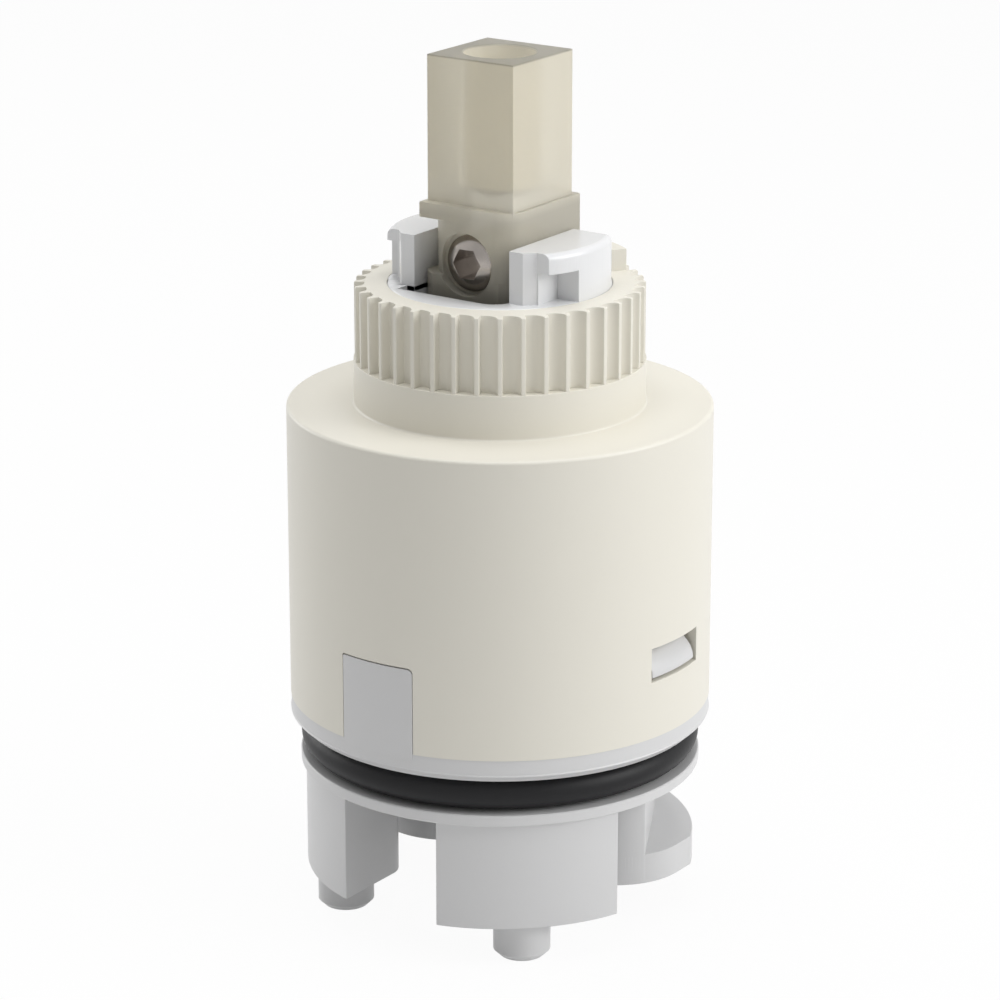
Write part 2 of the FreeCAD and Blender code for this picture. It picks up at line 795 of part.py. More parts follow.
def make_housing():
    """Outer shell with roof, collar, splined neck, two snap windows, key notch and stop rib."""
    housing = Piece("housing")
    housing.revolve(housing.sketch("XZ_Plane").loop([
        (inner_radius, shelf_top),
        (d.housing_radius, shelf_top),
        (d.housing_radius, housing_top - d.roof_round),
        (d.housing_radius - d.roof_round, housing_top, d.roof_round),
        (collar_radius, housing_top),
        (collar_radius, collar_top),
        (neck_radius, collar_top),
        (neck_radius, neck_top),
        (bore_radius, neck_top),
        (bore_radius, roof_low),
        (inner_radius, roof_low),
    ]))
    half = d.stop_rib_width / 2
    housing.pad(housing.sketch(offset=roof_low - d.stop_rib_height).loop([
        (half, on_circle(rib_inner, half)),
        (half, on_circle(inner_radius + d.housing_wall / 2, half)),
        (-half, on_circle(inner_radius + d.housing_wall / 2, half), inner_radius + d.housing_wall / 2),
        (-half, on_circle(rib_inner, half)),
        (half, on_circle(rib_inner, half), -rib_inner),
    ][1:]), d.stop_rib_height)
    sill = shelf_top + d.window_sill
    width = d.window_width / 2
    window = housing.pocket(housing.sketch(offset=sill + d.window_height).box(
        inner_radius - d.housing_wall, d.housing_radius + d.housing_wall, -width, width),
        d.window_height)
    housing.mirror_x([window])
    notch = d.tab_width / 2 + d.tab_gap
    housing.pocket(housing.sketch(offset=shelf_top).box(
        -notch, notch, -d.housing_radius - d.housing_wall, -inner_radius + d.housing_wall),
        d.tab_height + d.tab_gap, reverse=True)
    side = d.spline_width / 2
    spline = housing.pad(housing.sketch(offset=collar_top + d.spline_base).box(
        neck_radius - d.neck_wall / 2, neck_radius + d.spline_height, -side, side), d.spline_length)
    housing.ring_of([spline], d.spline_count)


def make_limit_ring():
    """Serrated temperature limit ring: forty flutes outside, teeth inside, stop lug on top."""
    ring = Piece("temperature_limit_ring")
    low = collar_top + d.ring_seat
    opening = d.guide_radius + d.ring_gap
    roof = guide_top - d.ring_roof
    ring.revolve(ring.sketch("XZ_Plane").loop([
        (ring_inner, low),
        (ring_radius, low),
        (ring_radius, guide_top - d.ring_round),
        (ring_radius - d.ring_round, guide_top, d.ring_round),
        (opening, guide_top),
        (opening, roof),
        (ring_inner, roof),
    ]))
    half_lug = d.lug_angle / 2
    ring.pad(ring.sketch(offset=guide_top - d.ring_round).loop([
        polar(d.lug_outer, 90 - half_lug),
        (*polar(d.lug_outer, 90 + half_lug), d.lug_outer),
        polar(d.lug_inner, 90 + half_lug),
        (*polar(d.lug_inner, 90 - half_lug), -d.lug_inner),
    ]), d.lug_height + d.ring_round)
    half_nose = d.nose_width / 2
    ring.pad(ring.sketch(offset=guide_top + d.ring_gap).box(
        -half_nose, half_nose, d.nose_reach, d.lug_inner + d.ring_gap), d.lug_height - d.ring_gap)
    half_tooth = d.ring_tooth_width / 2
    tooth = ring.pad(ring.sketch(offset=collar_top + d.spline_base).loop(turned([
        (neck_radius + d.spline_fit, -half_tooth),
        (ring_inner + d.ring_round, -half_tooth),
        (ring_inner + d.ring_round, half_tooth),
        (neck_radius + d.spline_fit, half_tooth),
    ], 180 / d.spline_count)), d.spline_length)
    ring.ring_of([tooth], d.spline_count)
    pitch = 360 / d.tooth_count
    start = d.tooth_phase + d.tooth_land / 2
    end = d.tooth_phase + pitch - d.tooth_land / 2
    floor = ring_radius - d.flute_depth
    beyond = ring_radius + d.flute_depth / 2
    floor_end = end - d.flute_turn
    flute = ring.pocket(ring.sketch(offset=low).loop([
        polar(floor, start),
        polar(beyond, start),
        polar(beyond, end),
        polar(ring_radius - d.flute_edge, end),
        (*polar(floor, floor_end), d.flute_round),
    ]), d.ring_height, reverse=True)
    ring.ring_of([flute], d.tooth_count)


def turned(points, angle):
    """The same outline turned about the axis."""
    return [(x * cosine(angle) - y * sine(angle), x * sine(angle) + y * cosine(angle), *rest)
            for x, y, *rest in points]


def make_lever_guide():
    """Rotating guide: flange with stop notch, drum, two wings, throat for the stem, drive rails."""
    guide = Piece("lever_guide")
    flange = inner_radius - d.guide_flange_gap
    guide.revolve(guide.sketch("XZ_Plane").loop([
        (0, guide_flange_low),
        (flange, guide_flange_low),
        (flange, guide_flange_top),
        (d.guide_radius, guide_flange_top),
        (d.guide_radius, guide_top),
        (0, guide_top),
    ]))
    rail_x = d.carrier_block_width / 2 + d.rail_gap
    rail = guide.pad(guide.sketch(offset=guide_flange_low - d.rail_depth).box(
        rail_x, rail_x + d.rail_thick, -d.rail_length / 2, d.rail_length / 2), d.rail_depth)
    front = d.wing_front - d.wing_bevel
    wing = guide.pad(guide.sketch(offset=guide_top).loop([
        (d.wing_inner, -d.wing_front),
        (d.wing_inner + d.wing_face, -d.wing_front),
        (d.wing_inner + d.wing_face + d.wing_bevel, -front),
        (on_circle(d.guide_radius, front), -front),
        (on_circle(d.guide_radius, d.wing_back), d.wing_back, d.guide_radius),
        (d.wing_inner, d.wing_back),
    ]), d.wing_height)
    guide.mirror_x([rail, wing])
    recess = guide.pocket(guide.sketch(offset=guide_top + d.recess_height).box(
        d.recess_inner, d.guide_radius + d.ring_gap, -front - d.ring_gap, -d.recess_back),
        d.recess_height)
    guide.mirror_x([recess])
    top = guide_top + d.wing_height
    guide.soften("Fillet", d.wing_round, lambda edge: (
        is_near(edge.BoundBox.ZMin, top) and is_near(edge.BoundBox.ZMax, top)
        and all(is_near(math.hypot(v.X, v.Y), d.guide_radius) for v in edge.Vertexes)))
    cut_throat(guide)
    # stop notch in the flange: the swing each way, plus the rib's own half angle and a margin
    rib_half = 57.3 * (d.stop_rib_width / 2) / rib_inner
    span = d.turn_half_range + rib_half + d.turn_margin
    floor = rib_inner - d.stop_gap
    guide.pocket(guide.sketch(offset=guide_flange_top).loop([
        polar(floor, 90 - span),
        polar(flange + d.stop_gap, 90 - span),
        (0, flange + d.stop_gap, flange + d.stop_gap),
        (*polar(flange + d.stop_gap, 90 + span), flange + d.stop_gap),
        polar(floor, 90 + span),
        (0, floor, -floor),
        (*polar(floor, 90 - span), -floor),
    ][1:]), d.guide_flange_thick)
    bore = guide.sketch("YZ_Plane").circle(0, pivot_z, d.pivot_pin_radius + d.pin_fit)
    guide.pocket(bore, 3 * d.guide_radius, middle=True)


def cut_throat(guide):
    """The opening for the stem: wide above for the hub, narrow below for the arm."""
    inner = d.wing_inner
    corner = d.throat_corner
    guide.pocket(guide.sketch(offset=guide_top).loop([
        (-d.throat_side, -d.throat_front),
        (inner - corner, -d.throat_front),
        (inner, -d.throat_front + corner, corner),
        (inner, d.throat_back),
        (-inner, d.throat_back),
        (-inner, -d.wing_front),
        (-d.throat_side, -d.wing_front),
    ]), guide_top - throat_floor)
    guide.pocket(guide.sketch(offset=guide_flange_low).box(
        -slot_x, slot_x, -d.arm_depth / 2 - 2 * d.slot_side, stroke + d.foot_ball + d.slot_fit),
        throat_floor - guide_flange_low + d.slot_side, reverse=True)
    guide.pocket(guide.sketch(offset=guide_flange_low).box(
        -tower_x - d.tower_gap, tower_x + d.tower_gap,
        -tower_y - d.tower_gap, stroke + tower_y + d.tower_gap),
        tower_top - guide_flange_low + d.tower_gap, reverse=True)


def make_pivot_pin():
    pin = Piece("pivot_pin")
    pin.body.Placement = FreeCAD.Placement(Vector(0, 0, 0), FreeCAD.Rotation(Vector(0, 1, 0), 90))
    bind(pin.body, "Placement.Base.z", pivot_z)
    half = d.guide_radius - d.pin_recess
    edge = d.pin_edge
    pin.revolve(pin.sketch("XZ_Plane").loop([
        (0, -half),
        (d.pivot_pin_radius - edge, -half),
        (d.pivot_pin_radius, -half + edge),
        (d.pivot_pin_radius, half - edge),
        (d.pivot_pin_radius - edge, half),
        (0, half),
    ]))


def make_lever_stem():
    """Lever stem: square head with a blind hole, shoulder block, hub, and arm with its foot."""
    stem = Piece("lever_stem")
    half = d.hub_width / 2
    hub_top = pivot_z + d.hub_top
    hub_side = on_circle(d.hub_radius, d.hub_top)
    stem.pad(stem.sketch("YZ_Plane").loop([
        (hub_side, hub_top),
        (-hub_side, hub_top),
        (-d.hub_radius, pivot_z, d.hub_radius),
        (0, pivot_z - d.hub_radius, d.hub_radius),
        (d.hub_radius, pivot_z, d.hub_radius),
        (hub_side, hub_top, d.hub_radius),
    ][1:]), d.hub_width, middle=True)
    stem.pocket(stem.sketch(offset=hub_top)
                .circle(0, 0, 2 * d.hub_radius)
                .circle(0, 0, d.hub_radius), 2 * d.hub_radius)
    deep = d.stem_collar_y / 2
    stem.pad(stem.sketch(offset=hub_top).loop([
        (half - d.neck_corner, -deep),
        (half, -deep + d.neck_corner, d.neck_corner),
        (half, deep),
        (-half, deep),
        (-half, -deep + d.neck_round),
        (-half + d.neck_round, -deep, d.neck_round),
    ]), shoulder_z - hub_top)
    stem.pad(stem.sketch(offset=collar_low).box(-half, 0, -deep, 0), d.stem_collar_thick)
    side = d.head_side / 2
    stem.pad(stem.sketch(offset=shoulder_z).box(-side, side, -side, side), d.head_height)
    stem.pad(stem.sketch(offset=foot_z).box(
        -d.arm_width / 2, d.arm_width / 2, -d.arm_depth / 2, d.arm_depth / 2),
        d.arm_length - d.hub_radius / 2)
    stem.pad(stem.sketch("YZ_Plane").circle(0, foot_z, d.foot_ball), d.foot_width, middle=True)
    tip = head_top - d.head_hole_depth
    stem.groove(stem.sketch("XZ_Plane").loop([
        (0, tip - d.head_hole_tip),
        (d.head_hole_radius, tip),
        (d.head_hole_radius, head_top),
        (0, head_top),
    ]))
    stem.pocket(stem.sketch("YZ_Plane").circle(0, pivot_z, d.pivot_pin_radius + d.pivot_fit),
                2 * d.hub_width, middle=True)
    face = d.hub_radius
    stem.pocket(stem.sketch("XZ_Plane", face).circle(0, screw_z, d.screw_recess_radius),
                face - deep + d.screw_recess_depth)
    stem.pocket(stem.sketch("XZ_Plane", face).circle(0, screw_z, d.screw_radius + d.screw_fit),
                face + d.screw_rear + d.screw_hole_gap)


def make_flow_limit_screw():
    """Hexagon-socket screw with a domed face, turned about its own axis towards -Y."""
    screw = Piece("flow_limit_screw")
    screw.body.Placement = FreeCAD.Placement(Vector(0, 0, 0), FreeCAD.Rotation(Vector(1, 0, 0), 90))
    bind(screw.body, "Placement.Base.z", screw_z)
    apex = d.stem_collar_y / 2 - d.screw_setback
    rim = apex - d.screw_dome + on_circle(d.screw_dome, d.screw_radius)
    screw.revolve(screw.sketch("XZ_Plane").loop([
        (0, -d.screw_rear),
        (d.screw_radius - d.pin_edge, -d.screw_rear),
        (d.screw_radius, -d.screw_rear + d.pin_edge),
        (d.screw_radius, rim),
        (0, apex, d.screw_dome),
    ]))
    corner = d.hexagon / root(size(3))
    screw.pocket(screw.sketch(offset=apex + d.screw_setback).loop([
        polar(corner, d.hexagon_turn + 60 * step) for step in range(6)
    ]), d.hexagon_depth + d.screw_setback)


make_base()
make_body_o_ring()
make_inlet_seal("inlet_seal_hot", 1)
make_inlet_seal("inlet_seal_cold", -1)
make_port_seal("disc_seal_hot", 90 - d.port_end, 90 - d.port_start)
make_port_seal("disc_seal_cold", 90 + d.port_start, 90 + d.port_end)
make_outlet_seal()
make_fixed_disc()
make_moving_disc()
make_noise_damper()
make_carrier_seal()
make_disc_carrier()
make_slip_ring()
make_housing()
make_limit_ring()
make_lever_guide()
make_pivot_pin()
make_lever_stem()
make_flow_limit_screw()
doc.recompute()

for item in doc.Objects:
    if "Invalid" in item.State or "Error" in item.State:
        raise RuntimeError(f"{item.Label} did not recompute: {item.State}")
os.makedirs("parts", exist_ok=True)
for piece in PIECES:
    shape = piece.Shape
    if shape.isNull() or not shape.isValid() or len(shape.Solids) != 1:
        raise RuntimeError(f"{piece.Label} is not one valid solid: {len(shape.Solids)}")
    shape.exportStep(f"parts/{piece.Label}.step")
    print(piece.Label, round(shape.Volume, 1))
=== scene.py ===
"""Dresses a single-lever mixer cartridge: moulded shell, serrated limit ring, lever and base.

Sizes in the functions below are millimetres in the cartridge's own frame: Z up its axis from the
plane where the legs end, -Y towards the key tab, X along the lever's pivot.
"""

import math

import bmesh
import bpy
from mathutils import Matrix, Vector


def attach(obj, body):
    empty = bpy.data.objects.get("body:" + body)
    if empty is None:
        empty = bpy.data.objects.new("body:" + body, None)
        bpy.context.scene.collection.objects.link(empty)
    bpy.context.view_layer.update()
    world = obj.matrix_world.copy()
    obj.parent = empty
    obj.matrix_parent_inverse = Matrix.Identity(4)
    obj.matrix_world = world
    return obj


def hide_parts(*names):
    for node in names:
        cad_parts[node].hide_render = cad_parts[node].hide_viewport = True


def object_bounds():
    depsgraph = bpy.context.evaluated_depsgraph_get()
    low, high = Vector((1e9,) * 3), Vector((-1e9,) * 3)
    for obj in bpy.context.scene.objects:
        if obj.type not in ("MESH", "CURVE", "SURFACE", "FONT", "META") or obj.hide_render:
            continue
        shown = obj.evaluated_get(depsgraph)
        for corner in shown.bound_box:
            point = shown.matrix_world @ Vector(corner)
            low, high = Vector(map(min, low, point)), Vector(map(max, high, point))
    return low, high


bl_info = {
    "name": "Mixer Cartridge",
    "version": (1, 0, 0),
    "blender": (4, 5, 0),
    "location": "View3D > Sidebar > Cartridge",
    "description": "Builds the pieces of a single-lever mixer cartridge on its packed frame",
    "category": "Add Mesh",
}

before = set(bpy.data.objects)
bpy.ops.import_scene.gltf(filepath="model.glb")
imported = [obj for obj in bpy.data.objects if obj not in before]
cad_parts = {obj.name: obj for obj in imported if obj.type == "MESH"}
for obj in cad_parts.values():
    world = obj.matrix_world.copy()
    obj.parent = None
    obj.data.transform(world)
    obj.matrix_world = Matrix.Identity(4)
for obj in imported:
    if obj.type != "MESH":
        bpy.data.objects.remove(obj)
packed_box = [list(corner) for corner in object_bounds()]

MM = 0.001      # metres
STEPS = 240     # facets round a turned piece

# sizes that several pieces share, in millimetres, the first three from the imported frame

BODY_RADIUS = round(packed_box[1][0] / MM, 2)
LEVER_TOP = round(packed_box[1][2] / MM, 2)
PIN_TIP = round(packed_box[0][2] / MM, 2)

SHELL_BOTTOM = 15.1
SHOULDER = 40.0
COLLAR_RADIUS = 11.95
COLLAR_TOP = 43.7
NECK_RADIUS = 9.9
SPLINE_LOW, SPLINE_HIGH = 45.4, 48.4
KEY_HALF, KEY_TOP = 3.415, 22.24
STOP_HALF, STOP_RADIUS = 2.0, 14.4
LEVER_TURN = 50     # degrees to each side
PIVOT_HEIGHT = 48
THROAT_HALF = 4.65
SCREW_HEIGHT = 52.35
RIM_TOP = 10.06
SHELF_UNDER = 13.13


# sizes and finishes that a user would change

class CartridgeSizes(bpy.types.PropertyGroup):
    groove_count: bpy.props.IntProperty(
        name="Ring grooves", description="Finger grooves round the limit ring", default=40, min=8)
    groove_depth: bpy.props.FloatProperty(
        name="Groove depth", description="Depth of a finger groove, in millimetres", default=0.85)
    spline_count: bpy.props.IntProperty(
        name="Splines", description="Splines round the housing's neck", default=20, min=4)
    edge: bpy.props.FloatProperty(
        name="Edge", description="Width of the softened moulded edges, in millimetres", default=0.1)


class CartridgeFinish(bpy.types.PropertyGroup):
    ivory: bpy.props.FloatVectorProperty(
        name="Ivory", description="Shell and limit ring", subtype="COLOR", size=3,
        default=(0.78, 0.754, 0.673))
    white: bpy.props.FloatVectorProperty(
        name="White", description="Base", subtype="COLOR", size=3, default=(0.665, 0.665, 0.668))
    guide: bpy.props.FloatVectorProperty(
        name="Guide", description="Lever guide", subtype="COLOR", size=3, default=(0.77, 0.775, 0.785))
    lever: bpy.props.FloatVectorProperty(
        name="Lever", description="Translucent lever plastic", subtype="COLOR", size=3,
        default=(0.86, 0.82, 0.705))
    steel: bpy.props.FloatVectorProperty(
        name="Steel", description="Flow limit screw", subtype="COLOR", size=3,
        default=(0.43, 0.395, 0.365))
    rubber: bpy.props.FloatVectorProperty(
        name="Rubber", description="Sealing rings", subtype="COLOR", size=3,
        default=(0.012, 0.012, 0.013))
    ceramic: bpy.props.FloatVectorProperty(
        name="Ceramic", description="Valve discs", subtype="COLOR", size=3,
        default=(0.80, 0.79, 0.76))


class CartridgeStage(bpy.types.PropertyGroup):
    azimuth: bpy.props.FloatProperty(
        name="Azimuth", description="Camera's turn from the front", subtype="ANGLE",
        default=math.radians(34.85))
    elevation: bpy.props.FloatProperty(
        name="Elevation", description="Camera's height above the horizon", subtype="ANGLE",
        default=math.radians(17.71))
    distance: bpy.props.FloatProperty(
        name="Distance", description="Camera to the point it looks at", unit="LENGTH", default=0.3207)
    aim: bpy.props.FloatProperty(
        name="Aim height", description="Height of that point", unit="LENGTH", default=0.03135)
    lens: bpy.props.FloatProperty(
        name="Lens", description="Focal length, in millimetres", default=139.8)
    ambient: bpy.props.FloatProperty(
        name="Ambient", description="Strength of the room's light", default=0.3)
    key: bpy.props.FloatProperty(
        name="Key light", description="Power of the soft box on the right, in watts", default=1.28)
    top: bpy.props.FloatProperty(
        name="Top light", description="Power of the soft box overhead, in watts", default=1.23)
    rim: bpy.props.FloatProperty(
        name="Rim light", description="Power of the soft box behind on the left, in watts", default=0.55)


# shader maths as expressions

class Value:
    """One output socket, with arithmetic that adds Math nodes."""

    def __init__(self, finish, socket):
        self.finish = finish
        self.socket = socket

    def combine(self, operation, first, second):
        made = self.finish.node("ShaderNodeMath", {"operation": operation}, {0: first, 1: second})
        return Value(self.finish, made.outputs[0])

    def __add__(self, other):
        return self.combine("ADD", self, other)

    def __sub__(self, other):
        return self.combine("SUBTRACT", self, other)

    def __rsub__(self, other):
        return self.combine("SUBTRACT", other, self)

    def __mul__(self, other):
        return self.combine("MULTIPLY", self, other)

    __radd__ = __add__
    __rmul__ = __mul__


class Finish:
    """A material built from expressions on Object coordinates."""

    def __init__(self, name):
        self.material = bpy.data.materials.new(name)
        self.material.use_nodes = True
        self.tree = self.material.node_tree
        self.shader = self.tree.nodes["Principled BSDF"]
        self.place = Value(self, self.node("ShaderNodeTexCoord").outputs["Object"])

    def link(self, value, target):
        if isinstance(value, Value):
            self.tree.links.new(value.socket, target)
        else:
            target.default_value = value

    def node(self, kind, settings=None, inputs=None):
        made = self.tree.nodes.new(kind)
        for name, setting in (settings or {}).items():
            setattr(made, name, setting)
        for name, value in (inputs or {}).items():
            self.link(value, made.inputs[name])
        return made

    def set(self, **values):
        for name, value in values.items():
            self.link(value, self.shader.inputs[name.replace("_", " ")])
        return self

    def stretched(self, scale):
        made = self.node("ShaderNodeMapping", {}, {"Vector": self.place, "Scale": scale})
        return Value(self, made.outputs[0])

    def noise(self, scale, detail=3.0, where=None):
        made = self.node("ShaderNodeTexNoise", {}, {
            "Vector": where or self.place, "Scale": scale, "Detail": detail})
        return Value(self, made.outputs[0])

    def blend(self, mask, low, high):
        made = self.node("ShaderNodeMix", {"data_type": "RGBA"}, {0: mask, 6: low, 7: high})
        return Value(self, made.outputs[2])

    def rise(self, low, high):
        """A mask that goes from 0 to 1 between two heights."""
        parts = self.node("ShaderNodeSeparateXYZ", {}, {0: self.place})
        made = self.node("ShaderNodeMapRange", {}, {0: Value(self, parts.outputs[2]), 1: low, 2: high})
        return Value(self, made.outputs[0])

    def bump(self, height, strength, depth):
        made = self.node("ShaderNodeBump", {}, {
            "Height": height, "Strength": strength, "Distance": depth})
        return Value(self, made.outputs[0])


def shade(colour, amount):
    """The colour made lighter or darker, as an RGBA value."""
    return (*[min(channel * amount, 1.0) for channel in colour], 1.0)


def moulded(name, colour, rough, variation=0.02, grain=0.00001, coat=0.0):
    """Injection-moulded plastic: faint flow shading, fine grain and uneven gloss."""
    finish = Finish(name)
    flow = finish.noise(60.0, 2.0, finish.stretched((1.0, 1.0, 0.35)))
    fine = finish.noise(2600.0, 2.0)
    finish.set(
        Base_Color=finish.blend(flow, shade(colour, 1 - variation), shade(colour, 1 + variation)),
        Roughness=flow * 0.08 + fine * 0.06 + (rough - 0.07),
        Normal=finish.bump(fine, 0.35, grain),
        Coat_Weight=coat, Coat_Roughness=0.12)
    return finish.material


def lever_plastic(colour):
    """Tinted plastic that lets some light through, with painted shade by height: darkest down in the guide,
    darker on the block below the head and on its top face.
    """
    finish = Finish("lever_plastic")
    flow = finish.noise(140.0, 3.0, finish.stretched((1.0, 1.0, 0.3)))
    hub_end, block_start = 0.0478, 0.0532
    block_end, head_start = 0.0562, 0.0574
    head_end, top_face = 0.0687, 0.06885
    # painted shade by height: the block below the head, the top face and, darkest, the hub down in the guide
    painted_shade = finish.blend(finish.rise(block_end, head_start), shade(colour, 0.72), shade(colour, 1.0))
    painted_shade = finish.blend(finish.rise(head_end, top_face), painted_shade, shade(colour, 0.4))
    painted_shade = finish.blend(finish.rise(hub_end, block_start), shade(colour, 0.32), painted_shade)
    finish.set(
        Base_Color=finish.blend(flow * 0.12, painted_shade, shade(colour, 0.7)),
        Roughness=flow * 0.1 + 0.3,
        Transmission_Weight=0.5, IOR=1.25,
        Normal=finish.bump(flow, 0.15, 0.00003))
    return finish.material


def polished_steel(name, colour, rough):
    """Turned stainless steel with fine rings and worn patches whose light and dark base colour is painted
    reflection.
    """
    finish = Finish(name)
    rings = finish.noise(2200.0, 2.0, finish.stretched((1.0, 0.12, 1.0)))
    wear_and_reflection = finish.noise(500.0, 2.0)
    finish.set(
        # painted reflection: light and dark patches in the base colour; the same patches are real wear in the
        # roughness
        Base_Color=finish.blend(wear_and_reflection, shade(colour, 0.6), shade(colour, 1.25)),
        Metallic=1.0,
        Roughness=wear_and_reflection * 0.14 + rings * 0.06 + (rough - 0.1),
        Normal=finish.bump(rings, 0.2, 0.00001))
    return finish.material


def seal_rubber(colour):
    """Black nitrile rubber with a slight bloom."""
    finish = Finish("seal_rubber")
    bloom = finish.noise(90.0, 4.0)
    fine = finish.noise(3000.0, 2.0)
    finish.set(
        Base_Color=finish.blend(bloom, shade(colour, 0.7), shade(colour, 1.9)),
        Roughness=bloom * 0.2 + fine * 0.08 + 0.32,
        Specular_IOR_Level=0.22,
        Normal=finish.bump(fine, 0.4, 0.00002))
    return finish.material


def fired_ceramic(colour):
    """Lapped alumina: faint grain and a fine even gloss."""
    finish = Finish("fired_ceramic")
    grain = finish.noise(1800.0, 4.0)
    finish.set(
        Base_Color=finish.blend(grain, shade(colour, 0.95), shade(colour, 1.04)),
        Roughness=grain * 0.12 + 0.16)
    return finish.material


MATERIALS = {}


def material(name):
    return MATERIALS[name]


# solids, all in millimetres until they are finished

def arc(x, y, radius, start, end, count=16):
    """Points of an arc about x, y between two angles in degrees."""
    angles = [math.radians(start + (end - start) * step / count) for step in range(count + 1)]
    return [(x + radius * math.cos(a), y + radius * math.sin(a)) for a in angles]


def reach(radius, offset):
    """How far a circle about the axis reaches at this offset."""
    return math.sqrt(radius * radius - offset * offset)


def bearing(x, y):
    return math.degrees(math.atan2(y, x))


def mirrored(points):
    return [(-x, y) for x, y in reversed(points)]


def face_out(mesh):
    """Merges doubled points and turns the faces to the outside."""
    work = bmesh.new()
    work.from_mesh(mesh)
    bmesh.ops.remove_doubles(work, verts=work.verts, dist=0.0005)
    bmesh.ops.recalc_face_normals(work, faces=work.faces)
    work.to_mesh(mesh)
    work.free()


def solid(name, vertices, faces):
    """A new mesh object from points and faces."""
    mesh = bpy.data.meshes.new(name)
    mesh.from_pydata([Vector(v) for v in vertices], [], faces)
    face_out(mesh)
    piece = bpy.data.objects.new(name, mesh)
    bpy.context.collection.objects.link(piece)
    return piece


def lathe(name, profile, start=0.0, sweep=360.0, steps=STEPS):
    """A closed profile of radius and height turned about Z, all round or over part of a turn."""
    whole = abs(sweep - 360) < 1e-6
    count = steps if whole else max(int(steps * sweep / 360), 8)
    rows = count if whole else count + 1
    vertices = []
    for row in range(rows):
        angle = math.radians(start + sweep * row / count)
        vertices += [(r * math.cos(angle), r * math.sin(angle), z) for r, z in profile]
    size = len(profile)
    faces = []
    for row in range(count):
        here = row * size
        there = (row + 1) % rows * size
        for index in range(size):
            after = (index + 1) % size
            if profile[index][0] < 1e-6 and profile[after][0] < 1e-6:
                continue
            corners = [here + index, there + index, there + after, here + after]
            if profile[index][0] < 1e-6:
                corners = [here + index, there + after, here + after]
            if profile[after][0] < 1e-6:
                corners = [here + index, there + index, here + after]
            faces.append(corners)
    if not whole:
        faces += [list(range(size)), [(rows - 1) * size + index for index in range(size)]]
    return solid(name, vertices, faces)


AXES = {
    "Z": lambda u, v, w: (u, v, w),
    "X": lambda u, v, w: (w, u, v),
    "Y": lambda u, v, w: (u, w, v),
}


def block(name, outline, low, high, axis="Z"):
    """An outline pushed along an axis. About X it reads as Y, Z and about Y as X, Z."""
    turn = AXES[axis]
    size = len(outline)
    vertices = [turn(u, v, w) for w in (low, high) for u, v in outline]
    faces = [list(range(size))[::-1], [size + index for index in range(size)]]
    faces += [[index, (index + 1) % size, size + (index + 1) % size, size + index]
              for index in range(size)]
    return solid(name, vertices, faces)


def bar(name, x0, x1, y0, y1, z0, z1):
    return block(name, [(x0, y0), (x1, y0), (x1, y1), (x0, y1)], z0, z1)


def rod(name, u, v, radius, low, high, axis="Z", steps=96):
    return block(name, arc(u, v, radius, 0, 360, steps)[:-1], low, high, axis)


def evaluated(piece):
    """Bakes the piece's modifiers into its mesh."""
    graph = bpy.context.evaluated_depsgraph_get()
    mesh = bpy.data.meshes.new_from_object(piece.evaluated_get(graph))
    piece.modifiers.clear()
    old = piece.data
    piece.data = mesh
    bpy.data.meshes.remove(old)
    return piece


def combine(piece, operation, tools):
    for tool in tools:
        change = piece.modifiers.new(operation.lower(), "BOOLEAN")
        change.operation = operation
        change.solver = "EXACT"
        change.object = tool
    evaluated(piece)
    for tool in tools:
        bpy.data.objects.remove(tool)
    return piece


def cut(piece, *tools):
    return combine(piece, "DIFFERENCE", tools)


def join(piece, *tools):
    return combine(piece, "UNION", tools)


def soften(piece, edge, angle=40.0, segments=2):
    """Moulded edges: a small bevel wherever two faces meet sharply."""
    bevel = piece.modifiers.new("edges", "BEVEL")
    bevel.width = edge
    bevel.segments = segments
    bevel.limit_method = "ANGLE"
    bevel.angle_limit = math.radians(angle)
    bevel.miter_outer = "MITER_ARC"
    bevel.use_clamp_overlap = True
    return evaluated(piece)


def dress(piece, body, slot, finish, *nodes, smooth=32.0):
    """Brings a finished piece to metres, shades it, and hangs it on its body."""
    piece.data.transform(Matrix.Scale(MM, 4))
    piece.data.materials.clear()
    piece.data.materials.append(material(finish))
    for face in piece.data.polygons:
        face.use_smooth = True
        face.material_index = 0
    piece.data.set_sharp_from_angle(angle=math.radians(smooth))
    weight = piece.modifiers.new("weights", "WEIGHTED_NORMAL")
    weight.keep_sharp = True
    evaluated(piece)
    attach(piece, body)
    if nodes:
        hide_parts(*nodes)
    return piece


# a Geometry Nodes tree that repeats one sector round the axis

